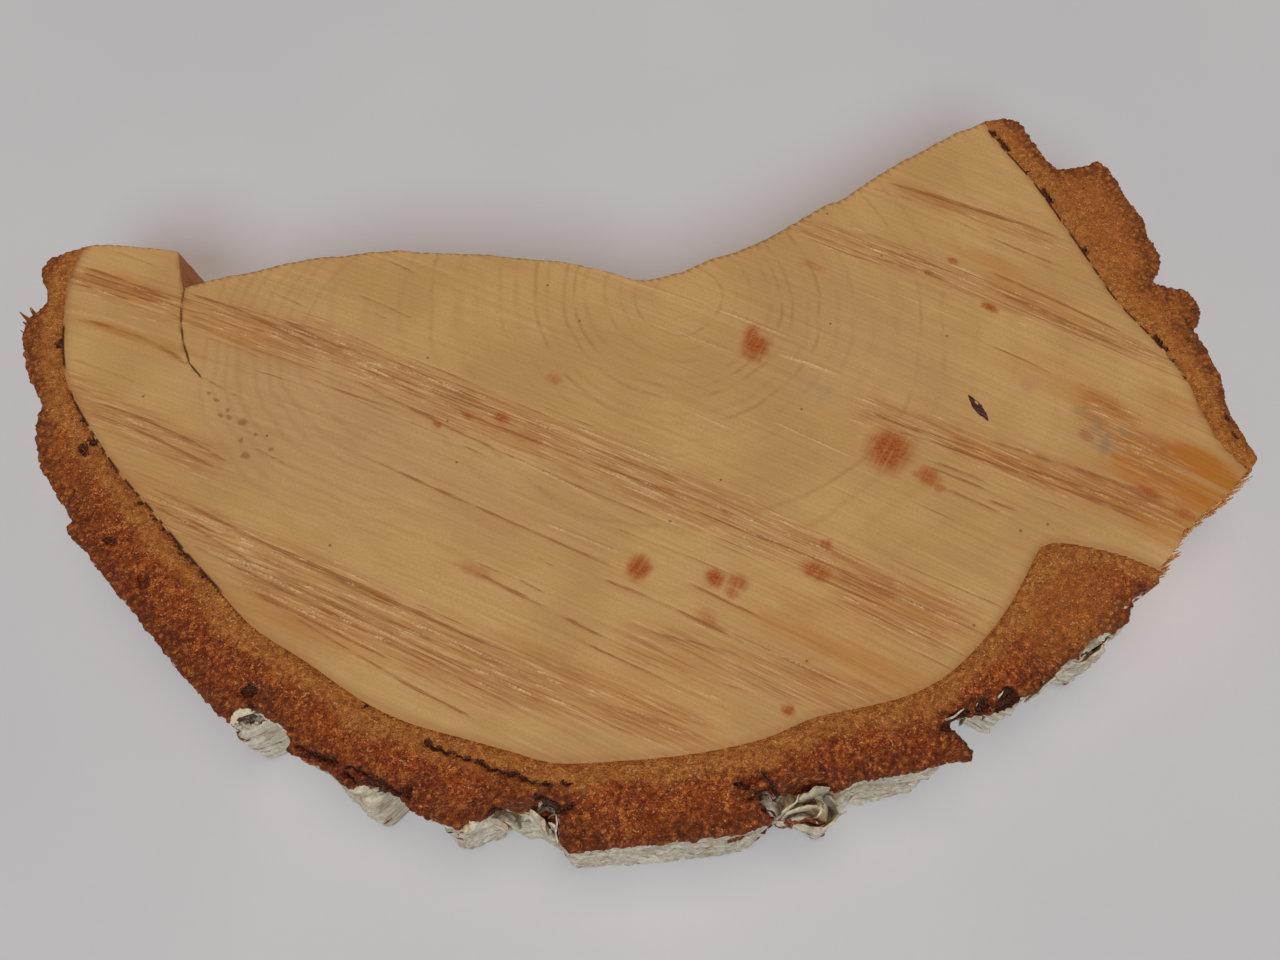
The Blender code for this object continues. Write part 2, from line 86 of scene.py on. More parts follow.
# Long dark saw streaks: start x and y, end x and y, bow to the upper right, half width, strength
DARK_STREAKS = (
    (-67.1, 26.1, -57.8, 22.0, 0.3, 0.22, 0.6),
    (-70.6, 23.6, -55.7, 17.2, 0.5, 0.26, 0.9),
    (-70.4, 22.6, -56.5, 17.0, 0.4, 0.20, 0.7),
    (-70.3, 20.7, -62.0, 18.0, 0.2, 0.18, 0.7),
    (-69.8, 15.5, -52.0, 7.5, 1.4, 0.45, 0.8),
    (-58.4, 16.5, -44.5, 10.4, 0.4, 0.18, 0.5),
    (-55.4, 19.2, -36.8, 10.3, 0.7, 0.34, 0.8),
    (-52.3, 12.8, -43.8, 9.2, 0.2, 0.20, 0.6),
    (-50.4, 21.8, -38.8, 16.3, 0.3, 0.20, 0.6),
    (-42.8, 14.9, -24.7, 4.3, 0.6, 0.22, 0.5),
    (-33.6, 25.4, -26.0, 21.7, 0.4, 0.24, 0.9),
    (-33.8, 19.0, -25.3, 14.7, 0.2, 0.20, 0.8),
    (-32.2, 16.9, -28.6, 14.5, 0.1, 0.18, 0.7),
    (-39.6, 7.5, -23.8, 1.8, -0.6, 0.22, 0.7),
    (-64.8, 3.8, -44.6, -5.8, 0.8, 0.26, 0.8),
    (-64.2, 2.2, -46.0, -6.4, 0.3, 0.22, 0.8),
    (-68.8, 9.8, -54.6, 3.8, 0.4, 0.16, 0.5),
    (-43.7, -2.7, -39.4, -5.1, 0.1, 0.20, 0.8),
    (-58.5, -5.2, -47.0, -10.3, 0.1, 0.20, 0.5),
    (-43.2, 10.2, -31.5, 4.7, 0.1, 0.16, 0.5),
    (-36.4, 12.4, -8.7, 0.8, 0.3, 0.16, 0.5),
    (-36.1, 10.4, 15.7, -12.0, -1.0, 0.20, 0.7),
    (-35.9, 8.4, 8.4, -13.7, -0.8, 0.22, 0.8),
    (-20.4, 4.6, 13.2, -10.3, 0.2, 0.16, 0.6),
    (-19.6, -2.1, -12.6, -5.8, 0.1, 0.18, 0.7),
    (-32.5, -2.9, 2.3, -19.1, -0.1, 0.24, 0.9),
    (-9.4, -11.2, 0.5, -16.2, 0.0, 0.14, 0.4),
    (-2.7, -18.9, 15.6, -27.8, 0.4, 0.26, 0.9),
    (-18.9, -17.0, -0.3, -26.7, 0.0, 0.30, 0.9),
    (-16.7, -17.0, -13.6, -18.4, 0.0, 0.22, 0.9),
    (-9.6, -16.4, -7.0, -18.1, 0.0, 0.18, 0.7),
    (-11.8, -19.0, -8.4, -20.9, 0.0, 0.18, 0.6),
    (-7.1, -20.6, -4.7, -21.9, 0.0, 0.16, 0.5),
    (-2.6, -12.3, 15.5, -20.1, 0.2, 0.18, 0.6),
    (6.6, -19.2, 16.0, -23.9, 0.0, 0.24, 0.9),
    (23.6, 28.3, 34.8, 23.1, -0.3, 0.22, 0.7),
    (29.3, 28.3, 41.0, 22.8, 0.0, 0.20, 0.6),
    (29.5, 2.3, 44.5, -5.2, 0.0, 0.22, 0.7),
    (30.2, -2.9, 43.8, -8.9, 0.2, 0.24, 0.9),
    (32.6, -9.1, 39.6, -12.8, 0.0, 0.20, 0.8),
    (24.6, -7.9, 28.5, -9.9, 0.0, 0.16, 0.5),
    (33.0, -0.5, 64.0, -14.4, 0.6, 0.24, 0.8),
    (43.2, -1.7, 52.9, -5.5, 0.1, 0.24, 0.7),
    (35.0, -4.0, 43.6, -7.8, 0.1, 0.18, 0.7),
    (37.6, -8.0, 44.2, -11.4, 0.0, 0.26, 0.9),
    (42.3, -9.5, 46.2, -11.1, 0.0, 0.30, 0.9),
    (52.5, -5.0, 64.2, -11.0, 0.2, 0.30, 0.9),
    (34.4, 37.4, 58.0, 27.4, 0.3, 0.36, 0.9),
    (42.1, 32.0, 58.6, 22.5, -0.6, 0.26, 0.7),
    (45.8, 23.2, 66.9, 10.1, 0.4, 0.30, 0.8),
    (46.8, 19.8, 68.6, 7.0, 0.4, 0.40, 0.9),
    (45.0, 11.8, 53.6, 6.6, 0.2, 0.26, 0.7),
    (31.0, 29.2, 43.0, 21.7, 0.0, 0.22, 0.6),
    (-55.3, -7.4, -6.0, -30.2, -0.6, 0.24, 0.9),
    (-50.2, -14.3, -6.4, -35.8, 0.0, 0.24, 0.9),
    (-47.6, -16.9, -11.0, -35.2, -0.2, 0.20, 0.8),
    (-53.8, -10.4, -40.0, -18.3, 0.2, 0.20, 0.8),
    (-42.0, -19.9, -12.4, -36.4, -0.4, 0.20, 0.8),
    (-34.8, -20.8, -9.6, -32.9, 0.0, 0.20, 0.7),
    (-32.5, -18.7, -14.6, -26.8, 0.2, 0.20, 0.8),
    (-32.4, -20.8, -18.4, -27.4, 0.0, 0.20, 0.8),
    (8.0, -23.2, 27.5, -33.2, 0.0, 0.24, 0.9),
    (-6.0, -25.5, 14.0, -35.0, 0.0, 0.22, 0.7),
    (-51.6, 7.2, -45.6, 3.8, -0.2, 0.2, 0.9),
)  # fmt: skip

# Long pale scratches, partly painted highlight, given the same way
PALE_STREAKS = (
    (-0.4, 21.4, 11.2, 16.9, 0.1, 0.16, 0.6),
    (11.0, 17.1, 20.8, 12.5, 0.1, 0.16, 1.0),
    (19.5, 10.0, 26.8, 7.0, 0.2, 0.28, 0.7),
    (5.7, 14.1, 14.0, 10.2, -0.1, 0.14, 0.5),
    (29.2, 19.9, 33.6, 17.7, 0.0, 0.14, 0.6),
    (18.0, 0.8, 28.8, -4.9, 0.0, 0.14, 0.7),
    (7.6, 2.4, 13.2, -0.4, 0.0, 0.16, 0.8),
    (-13.4, -3.8, -1.5, -10.3, 0.2, 0.20, 1.0),
    (-3.8, -5.0, 5.5, -9.4, 0.1, 0.22, 0.9),
    (-8.8, -12.4, 0.5, -16.3, 0.0, 0.20, 0.8),
    (-27.0, 8.2, -19.0, 4.4, 0.1, 0.24, 0.9),
    (-6.0, 0.2, 6.5, -5.4, 0.1, 0.18, 0.8),
    (-57.0, -8.0, -30.0, -20.6, 0.2, 0.16, 0.7),
    (-71.0, 16.6, -58.0, 12.4, 0.8, 0.35, 0.5),
    (-49.0, -14.4, -20.0, -28.2, 0.0, 0.18, 0.8),
    (-46.0, -17.4, -24.0, -28.6, 0.0, 0.16, 0.8),
    (-30.0, -21.0, -8.0, -31.0, 0.0, 0.20, 0.8),
    (58.5, 14.8, 67.5, 9.0, 0.1, 0.18, 0.6),
    (24.0, 30.6, 36.0, 25.2, 0.0, 0.16, 0.7),
    (33.0, 20.0, 44.0, 14.4, 0.0, 0.14, 0.5),
    (13.0, -26.0, 27.0, -32.4, 0.0, 0.16, 0.6),
)  # fmt: skip

# Bands of torn fibre: start x and y, end x and y, half width at the start and at the end, and the
# numbers of dark lines and of torn bits
TORN_BANDS = (
    (-71.0, 22.0, -54.0, 16.0, 1.8, 2.6, 14, 30),
    (-54.0, 16.5, -36.0, 10.5, 2.8, 4.2, 18, 26),
    (-43.0, 14.5, -22.0, 4.0, 2.0, 3.2, 26, 110),
    (-24.0, 5.0, 4.0, -7.5, 3.2, 3.8, 30, 90),
    (0.0, -6.0, 24.0, -17.0, 3.6, 3.2, 28, 100),
    (18.0, -14.5, 40.0, -25.0, 3.0, 2.4, 18, 40),
    (-56.0, -9.0, -30.0, -21.5, 2.0, 3.6, 26, 60),
    (-44.0, -16.5, -8.0, -33.0, 3.2, 4.6, 40, 120),
    (-12.0, -30.0, 10.0, -37.0, 4.0, 2.0, 20, 50),
    (20.0, 31.0, 40.0, 22.8, 1.6, 2.6, 14, 50),
    (38.0, 24.0, 68.0, 8.0, 2.4, 1.4, 26, 50),
    (36.0, 36.0, 58.0, 26.5, 1.4, 1.6, 8, 40),
    (28.0, 3.0, 52.0, -7.0, 2.4, 2.6, 22, 36),
    (44.0, -4.0, 66.0, -12.5, 3.0, 2.2, 22, 60),
    (56.0, 3.0, 66.0, -8.0, 3.4, 3.0, 6, 50),
    (24.0, -20.0, 36.0, -26.5, 2.6, 2.2, 16, 24),
    (0.0, -26.0, 30.0, -34.0, 3.0, 2.2, 14, 20),
    (-70.0, 6.0, -46.0, -6.0, 3.0, 2.6, 10, 40),
)  # fmt: skip
BAND_SEED = 41
BAND_LINE_LENGTH = (5.0, 20.0)
BAND_BIT_LENGTH = (0.4, 2.6)

# Reddish spots: x, y, half sizes along the saw arcs and across them, strength
SPOTS = (
    (16.1, 13.0, 1.0, 1.3, 0.85), (16.6, 11.4, 1.6, 1.5, 1.0), (15.9, 10.0, 1.3, 0.9, 0.8),
    (31.7, -3.1, 2.5, 2.7, 1.0), (35.9, -6.6, 1.4, 1.1, 0.8), (34.6, -6.2, 0.7, 0.5, 0.6),
    (36.9, -8.0, 0.7, 0.5, 0.6), (2.0, -17.9, 1.3, 1.4, 1.0), (10.5, -19.1, 1.1, 1.0, 1.0),
    (13.1, -19.6, 1.2, 0.9, 0.8), (12.4, -20.8, 0.8, 0.7, 0.7), (21.9, -18.2, 1.6, 1.0, 0.9),
    (23.2, -15.1, 0.7, 0.6, 0.8), (17.9, -34.0, 0.7, 0.6, 1.0), (-14.4, 1.2, 0.9, 0.7, 0.9),
    (-18.5, 1.5, 0.8, 0.4, 0.8), (-22.1, 0.3, 0.6, 0.4, 0.8), (46.3, 17.2, 1.0, 0.6, 1.0),
    (42.6, 24.1, 0.8, 0.4, 0.8), (39.2, 22.4, 0.6, 0.4, 0.7), (-16.2, -18.3, 2.2, 0.6, 0.45),
    (9.4, -23.8, 1.1, 0.9, 0.4), (-8.3, 6.6, 0.9, 0.7, 0.5), (24.6, 23.4, 1.5, 0.6, 0.4),
    (55.2, -1.2, 0.9, 0.6, 0.5), (65.0, -11.4, 1.6, 0.6, 0.7), (61.2, -8.6, 1.5, 0.5, 0.8),
)  # fmt: skip
GREY_SPOTS = (
    (56.8, 0.3, 0.8, 1.0, 0.55), (57.3, -2.3, 0.5, 1.5, 0.7), (59.8, -0.7, 0.9, 0.5, 0.6),
    (49.2, 5.6, 0.9, 0.7, 0.35), (55.1, 2.1, 0.9, 0.6, 0.45),
)  # fmt: skip

# Small grey-brown dots near the drying crack: x, y, size
GREY_DOTS = (
    (-50.0, 4.6, 0.3), (-49.1, 3.7, 0.35), (-47.4, 2.1, 0.4), (-47.2, 1.2, 0.4), (-45.3, 0.6, 0.55),
    (-48.2, 1.5, 0.35), (-43.7, -1.1, 0.3), (-44.3, -3.9, 0.5), (-41.6, -3.1, 0.35), (-45.1, -1.8, 0.35),
)  # fmt: skip

# Stained patches of the wood: x, y, half sizes along the saw arcs and across them, strength
ORANGE_STAINS = (
    (66.0, -6.2, 5.4, 4.2, 1.0), (61.5, -6.5, 5.4, 3.4, 1.0), (69.8, -7.6, 3.2, 2.6, 1.0),
    (62.4, -12.4, 4.4, 2.6, 0.9), (52.4, 7.4, 6.0, 2.6, 0.5), (24.0, -27.5, 13.0, 4.2, 0.5),
    (0.0, -33.5, 16.0, 3.4, 0.3), (64.0, -8.6, 5.2, 2.6, 1.0), (61.0, -4.0, 4.2, 2.2, 0.9),
    (67.5, -4.6, 2.6, 2.0, 0.8), (58.0, 3.0, 4.6, 2.0, 0.9),
    (50.0, -6.8, 7.0, 1.4, 0.7), (44.0, -4.0, 7.5, 1.2, 0.6), (57.5, -9.4, 5.5, 1.6, 0.8),
    (52.0, 19.0, 6.5, 1.5, 0.7), (47.5, 24.0, 5.0, 1.4, 0.5), (60.0, 13.0, 6.0, 1.0, 0.6),
    (42.0, 34.0, 7.0, 0.9, 0.7), (66.0, 2.5, 4.0, 2.2, 0.5), (-63.0, 20.0, 8.0, 1.6, 0.7),
    (-48.0, 13.8, 8.5, 2.2, 0.6), (-60.0, 12.6, 9.0, 0.9, 0.6), (30.0, -22.5, 8.0, 2.8, 0.6),
    (5.0, -30.5, 9.0, 2.2, 0.35), (-34.0, -24.5, 10.0, 2.4, 0.35), (-56.0, -8.5, 7.0, 2.2, 0.3),
)  # fmt: skip
REDDISH_PATCHES = (
    (60.8, -9.8, 1.6, 1.1, 1.0), (57.6, 3.6, 2.6, 1.2, 0.8), (63.6, -1.8, 1.6, 1.2, 0.5),
    (53.4, -5.6, 2.2, 0.7, 0.7), (48.6, -4.6, 2.0, 0.7, 0.6), (50.8, 17.8, 2.8, 0.9, 0.8),
    (47.6, 20.6, 2.0, 0.7, 0.5), (56.0, -7.4, 2.6, 0.7, 0.6),
)  # fmt: skip
HEART = ((-38.0, 4.0, 17.0, 11.0, 0.8), (-22.0, -6.0, 16.0, 6.0, 0.5), (30.0, 12.0, 14.0, 9.0, 0.5))
GREY_SMUDGES = ((57.0, -2.0, 2.4, 1.2, 1.0), (24.0, 5.0, 4.0, 1.6, 0.5))

# Growth rings: the pith, and each ring's radius, strength and half width
PITH = (6.6, 18.6)
RINGS = (
    (3.4, 0.35, 0.16), (5.6, 0.75, 0.18), (7.4, 0.3, 0.2), (9.2, 0.55, 0.2), (11.6, 0.45, 0.3),
    (13.0, 0.85, 0.2), (14.4, 0.8, 0.22), (16.6, 0.35, 0.3), (18.0, 0.85, 0.22), (20.4, 0.4, 0.3),
    (22.4, 0.35, 0.25), (25.0, 0.25, 0.6), (27.6, 0.35, 0.7), (31.2, 0.7, 0.24), (34.4, 0.4, 0.3),
    (38.5, 0.25, 0.5), (43.5, 0.25, 0.6), (49.0, 0.2, 0.6), (55.0, 0.2, 0.7), (61.0, 0.2, 0.7),
)  # fmt: skip
RING_WARP = 1.1

# Faint arcs left of the darker heart: their oval's middle, half sizes and turn, each arc's place in it,
# their strength, and the x in metres where they start to show and where they show in full
HEART_RINGS_AT = (-23.5, 13.0, 28.0, 26.5, 10.0)
HEART_RINGS = (0.60, 0.68, 0.73, 0.79, 0.86, 0.91, 0.96, 1.02)
HEART_RING_STRENGTH = 0.2
HEART_RING_X = (-0.020, -0.034)

# Dashes of painted shade along the seam where the bark has parted from the wood
DARK_SEAMS = (
    ((-69.9, 12.4), (-69.3, 9.8)),
    ((-66.3, 3.1), (-64.1, 0.4), (-61.8, -2.3), (-57.9, -7.2), (-54.5, -10.9), (-46.0, -19.4)),
    ((50.8, 46.0), (53.6, 39.8), (57.0, 34.0), (62.0, 19.5), (66.6, 12.0), (68.5, 8.0)),
)

# The drying crack: its line, how much of its width the scene closes, and its shade's half width
CRACK_LINE = ((-55.9, 20.2), (-55.8, 17.5), (-55.3, 14.6), (-54.6, 12.0), (-53.2, 8.8), (-51.4, 6.8))
CRACK_NARROWING = 0.42
CRACK_SHADE = 0.15

# A dark chip in the sawn face: x, y, half length, half width, turn in degrees. Then the pale fleck in it
DARK_CHIP = (42.9, 2.6, 2.05, 0.62, -62.0)
CHIP_FLECK = (42.8, 3.3, 0.32, 0.13, -60.0)
LEAF_POWER = 1.3

# Pinholes, painted as dots of shade: x and y, and their half size
PINHOLES = (
    (26.9, 31.8), (-42.2, -1.2), (33.4, 25.0), (-19.4, -4.7), (-20.9, 0.8), (21.6, 2.4), (40.4, 12.8),
    (-33.0, -15.2), (-58.0, 4.2), (26.0, 14.6), (11.6, -7.0), (38.8, -24.6), (-5.4, 15.0), (5.6, -12.2),
    (-64.2, -0.6), (45.6, -13.4), (48.8, -12.6), (20.2, -28.6), (-24.0, 9.6), (-9.6, 20.4),
)  # fmt: skip
PINHOLE_SIZE = 0.17

# The notch at the back: x, y and reach of its redder wall. The broken end: where its torn wall starts
NOTCH = (-56.5, 23.5, 4.8)
BROKEN_X = 58.0
BROKEN_Y = -5.5

# A face belongs to the sawn top where its points are this near the top and its normal is this far up
LEVEL_SLACK = 0.05
LEVEL_NORMAL = 0.95

# The wood's walls this near the bark are hidden by it and stay plain. The others get fibres and shards
SEAM_REACH = 1.2
WALL_CUTS = 3
FIBRE_RELIEF = 0.08
FIBRE_PATCH = (0.45, 0.45, 14.0)
SHARD_RELIEF = 0.14
SHARD_PATCH = (2.2, 2.2, 26.0)

# Torn fibres along the broken end: its line, their seed and number, how far they stand out, and how
# deep they start
BROKEN_END = ((60.3, -18.4), (62.4, -16.0), (64.0, -13.4), (67.1, -11.1), (70.0, -8.9), (73.3, -5.9))
FRINGE_SEED = 59
FRINGE_COUNT = 240
FRINGE_REACH = (0.1, 0.85)
FRINGE_DROP = (1.5, 9.0)

# Bark: mesh sizes, the even inner layer's width, and the sizes and reliefs of the grains and the outer wall
LOWER_VOXEL = 0.35
UPPER_VOXEL = 0.24
INNER_BAND = 2.6
GRAIN_SIZE = 0.8
FINE_GRAIN_SIZE = 0.4
GRAIN_RELIEF = 0.26
GRAIN_CREVICE = 0.16
FINE_RELIEF = 0.12
OUTSIDE_RIDGES = 0.18
OUTSIDE_LUMPS = 0.10
CRACK_DEPTH = 0.7
CRACK_REACH = -1.5
LINE_WIDTH = 0.65

# An outline's points further than this from the wood are on the bark's outer side
SKIN_FROM = 1.4

# The hook's lighter brown: x, y, reach and strength. The left lobe's: how far left it starts, how far
# left it is full, and its strength
WARM_HOOK = (50.0, -23.0, 10.0, 0.7)
WARM_LOBE = (58.0, 72.0, 0.6)

# Creamier cork on lowered blocks left of an x, from one level up to another
CREAM_LEVELS = (11.0, 14.0)
CREAM_END_X = 30.0

# The clefts on the right run further down: middle x, half width of the stretch, how much further
DEEP_CLEFTS = (38.0, 5.0, 7.0)

# Pits, the seam with the wood, flakes and splinters, and how much of its height a lowered block loses
PIT_DEPTH = 0.4
SEAM_CLOSING = 0.36
SEAM_OPENING = 0.12
PIT_FILLING = 0.45
FLAKE_STEP = 0.3
FLAKE_ROWS = 6
SLIVER_TIP = 0.3
SPLINTER_TONE = 0.0
LOWERED_SHARE = 0.85

# Broken lines in the sawn bark, cut in and painted dark as shade: points and half width
BARK_CRACKS = (
    (((-69.9, 12.4), (-69.3, 9.8)), 0.16),
    (((-66.3, 3.1), (-64.1, 0.4), (-62.3, -1.0), (-61.8, -2.3)), 0.18),
    (((-61.8, -2.3), (-59.9, -4.9), (-57.9, -7.2), (-54.5, -10.9), (-49.5, -16.1), (-46.0, -19.4)), 0.15),
    (((-33.0, -29.4), (-27.6, -32.9), (-22.0, -35.4), (-16.6, -36.9)), 0.16),
    (((-33.7, -37.6), (-26.0, -40.8), (-21.2, -43.2)), 0.14),
    (((50.8, 46.0), (51.6, 44.2), (52.5, 42.5)), 0.2),
    (((53.2, 40.6), (53.6, 39.8)), 0.26),
    (((54.5, 38.8), (55.0, 38.0)), 0.26),
    (((56.0, 36.0), (57.0, 34.0)), 0.2),
    (((58.5, 29.0), (60.0, 25.0)), 0.24),
    (((60.7, 22.5), (62.0, 19.5)), 0.26),
    (((65.6, 13.4), (66.6, 12.0), (68.5, 8.0)), 0.18),
)

# Clefts of the bark, cut in and painted dark as shade: points and half width
BARK_CLEFTS = (
    (((-63.0, -1.2), (-62.6, -2.2)), 0.26),
    (((-20.4, -37.2), (-18.9, -38.0), (-15.1, -39.1), (-13.6, -39.9), (-11.2, -40.6), (-6.9, -41.7)), 0.24),
    (((-5.9, -41.5), (-4.8, -41.6)), 0.22),
    (((-39.5, -33.3), (-38.3, -34.4), (-37.1, -35.8)), 0.26),
    (((-40.3, -34.9), (-39.5, -34.5), (-38.6, -34.3)), 0.16),
    (((-38.4, -36.6), (-37.5, -36.0)), 0.42),
    (((-37.0, -36.1), (-36.4, -36.6), (-36.8, -37.4)), 0.75),
    (((-32.6, -38.1), (-30.7, -39.0), (-29.5, -39.0)), 0.26),
    (((-28.5, -40.5), (-27.2, -41.3)), 0.2),
    (((-26.4, -41.2), (-24.7, -42.0), (-23.2, -43.1)), 0.3),
    (((-26.9, -40.0), (-24.9, -41.1), (-22.2, -42.7)), 0.2),
    (((-21.8, -42.7), (-21.5, -41.7)), 0.28),
    (((-8.4, -42.8), (-7.4, -43.4), (-6.4, -44.1), (-4.9, -43.7)), 0.45),
    (((-6.5, -43.9), (-7.0, -44.9), (-7.7, -45.7)), 0.3),
    (((-12.9, -44.1), (-12.1, -44.5), (-11.4, -45.1)), 0.6),
    (((13.5, -42.9), (14.9, -42.5), (15.7, -41.6), (14.7, -40.4)), 0.2),
    (((15.7, -41.4), (16.4, -42.5), (16.5, -43.9), (16.3, -44.8)), 0.42),
    (((14.9, -43.9), (16.0, -43.9)), 0.22),
    (((12.0, -41.4), (13.1, -41.6)), 0.22),
    (((19.0, -43.1), (20.5, -42.9), (21.6, -42.7), (22.3, -43.4)), 0.24),
    (((34.3, -35.9), (35.5, -34.9), (36.6, -34.1)), 0.6),
    (((37.7, -35.2), (38.3, -33.9), (38.9, -33.0)), 0.65),
    (((39.8, -35.3), (40.9, -33.4), (41.7, -32.3)), 1.0),
    (((42.1, -32.9), (43.0, -32.8)), 0.26),
    (((45.5, -31.0), (46.9, -30.4)), 0.2),
    (((50.4, -27.8), (51.7, -27.4), (53.0, -26.6), (54.0, -25.8)), 0.2),
)

# Pits and hollows of the sawn bark, painted dark as shade: x, y, half length, half width, turn in degrees
BARK_PITS = (
    (-63.6, -3.0, 1.3, 0.6, -60.0),
    (-63.8, -8.5, 0.9, 0.3, -30.0),
    (-58.2, -14.4, 1.0, 0.35, -38.0),
    (-53.6, -19.2, 0.8, 0.4, -55.0),
    (-39.6, -32.0, 1.0, 0.8, -15.0),
    (37.2, -33.0, 1.0, 0.3, 38.0),
    (41.0, -32.2, 1.0, 0.3, 45.0),
    (72.6, 1.6, 0.7, 0.3, -70.0),
    (73.0, -1.2, 0.7, 0.25, -70.0),
)

# Pale cork that shows from above: x, y, half length, half width, turn in degrees
CORK_PATCHES = (
    (-38.6, -36.0, 3.2, 1.9, -38.0),
    (-31.5, -41.0, 4.2, 0.7, -35.0),
    (-25.4, -43.0, 2.7, 1.3, -30.0),
    (-24.0, -41.8, 2.2, 0.5, -34.0),
    (-14.6, -46.3, 1.4, 1.4, -20.0),
    (-11.8, -46.0, 1.8, 1.2, -30.0),
    (-9.4, -45.4, 1.5, 1.5, 10.0),
    (5.0, -47.9, 11.0, 0.7, 3.0),
    (20.2, -43.9, 2.6, 1.8, 12.0),
    (30.0, -41.2, 8.5, 0.8, 11.0),
    (43.2, -33.6, 5.6, 0.8, 35.0),
    (51.6, -26.9, 3.0, 1.15, 38.0),
    (58.0, -21.4, 1.4, 0.5, 35.0),
)

# Places where the lower part of the outer wall stands back: x, y, reach and depth. Then the place that
# it stands back towards
UNDERCUTS = (
    (-37.0, -39.6, 4.8, 4.8),
    (-22.8, -45.8, 3.6, 4.2),
    (-12.0, -46.5, 4.0, 2.2),
    (19.2, -45.9, 2.4, 2.0),
    (35.5, -37.0, 2.8, 2.0),
    (39.2, -35.4, 4.2, 4.3),
    (48.8, -30.4, 4.8, 3.9),
)
UNDERCUT_AIM = (0.0, 25.0)

# Places where a broken block is taken down to a level, which its flakes stand on: an oval and the level
LOWERED = (
    ((-38.6, -36.0, 2.9, 1.6, -38.0), 15.0),
    ((-25.4, -43.2, 2.2, 1.0, -30.0), 14.8),
    ((-14.6, -46.5, 1.3, 1.2, -20.0), 14.6),
    ((-11.8, -46.1, 1.6, 1.0, -30.0), 13.6),
    ((52.0, -27.0, 2.3, 0.75, 38.0), 14.6),
    ((20.0, -43.9, 2.9, 2.2, 12.0), 11.2),
    ((-9.6, -45.4, 2.0, 1.5, 10.0), 8.0),
)

# Upright flakes of curled bark: line, lowest and highest level, thickness, tone. Up to 1 the tone is the
# share of cork, and what it has above 1 is shade
LOWER_FLAKES = (
    (((17.3, -44.2), (18.9, -43.6), (20.4, -43.4), (21.0, -43.9), (20.5, -44.5)), 9.5, 13.6, 0.5, 1.0),
    (((18.4, -45.0), (19.9, -45.4), (21.2, -45.6), (22.2, -45.0), (22.8, -44.3), (23.9, -43.7)),
     10.0, 12.6, 0.45, 1.0),
    (((17.6, -44.6), (18.7, -44.9), (19.8, -44.5), (20.9, -45.0), (21.7, -44.8)), 9.0, 12.8, 0.4, 0.35),
    (((16.7, -44.3), (17.4, -43.8), (18.1, -43.4), (18.6, -42.6)), 9.0, 15.5, 0.32, 0.85),
    (((18.7, -43.0), (20.0, -42.3), (20.9, -41.8), (21.8, -41.9)), 10.0, 14.9, 0.8, 1.25),
    (((21.6, -42.4), (22.5, -43.1), (22.8, -44.2)), 9.5, 14.2, 0.45, 1.5),
    (((34.2, -35.0), (35.3, -34.6), (36.4, -33.9)), 12.6, 15.8, 0.36, 0.8),
    (((36.8, -34.9), (37.4, -34.0), (38.2, -33.1)), 12.6, 15.4, 0.42, 1.0),
    (((39.2, -34.3), (40.0, -33.1), (41.1, -31.8)), 12.6, 15.7, 0.36, 0.8),
    (((44.4, -32.3), (46.2, -30.8), (47.5, -29.8), (48.4, -29.1)), 12.0, 15.2, 0.4, 1.0),
    (((47.4, -29.7), (48.8, -28.5), (49.5, -27.5)), 11.5, 14.8, 0.45, 1.2),
    (((49.6, -28.7), (52.1, -27.5), (53.5, -26.2), (54.7, -24.9), (55.9, -23.8)), 11.0, 14.4, 0.45, 0.9),
    (((50.5, -26.3), (51.8, -25.0), (52.9, -23.9)), 10.0, 15.6, 0.3, 1.0),
    (((54.7, -22.5), (55.9, -22.5), (57.1, -21.4)), 9.0, 15.9, 0.45, 0.9),
    (((-38.0, -33.8), (-36.6, -34.6), (-35.4, -35.6), (-34.3, -36.7)), 11.0, 14.8, 0.8, 1.0),
    (((-13.4, -44.7), (-12.4, -45.0), (-11.6, -45.5)), 9.5, 12.6, 0.7, 0.95),
    (((-11.7, -43.8), (-11.1, -44.5), (-10.8, -45.2)), 8.5, 11.6, 0.5, 1.45),
    (((-9.2, -44.0), (-8.0, -44.9), (-7.6, -46.0)), 10.0, 14.6, 0.7, 1.1),
    (((-7.2, -45.2), (-6.2, -45.8), (-5.3, -46.2)), 10.0, 14.2, 0.5, 0.8),
    (((-6.5, -44.6), (-6.4, -46.0), (-6.1, -47.4)), 9.0, 15.4, 0.34, 1.05),
)

# Splinters of the bark's left lobe: foot, tip, width to the side, thickness
LOWER_SPLINTERS = (
    ((-74.2, 16.0, 14.5), (-75.0, 17.2, 15.6), (0.6, 0.5, 0.0), 0.4),
    ((-74.6, 15.5, 14.2), (-75.9, 16.4, 15.2), (0.4, 0.5, 0.0), 0.3),
    ((-75.4, 15.9, 14.8), (-76.3, 16.7, 15.4), (0.3, 0.35, 0.0), 0.25),
    ((-74.8, 14.8, 14.0), (-75.8, 15.5, 15.0), (0.4, 0.45, 0.0), 0.3),
    ((-75.0, 13.8, 13.2), (-76.2, 14.6, 14.4), (0.2, 0.25, 0.0), 0.2),
)


def unit(values, low, high):
    """How far each value is from low to high, smoothed at both ends."""
    share = np.clip((values - low) / (high - low), 0.0, 1.0)
    return share * share * (3.0 - 2.0 * share)


def cell_number(cells, seed):
    """A number from 0 to 1 for each whole-number cell."""
    mixed = (cells * np.array([73856093, 19349663, 83492791])).sum(-1) + seed * 6542989
    mixed = (mixed ^ (mixed >> 13)) * 1274126177 & 0xFFFFFFFF
    return ((mixed ^ (mixed >> 15)) & 0xFFFF) / 65535.0


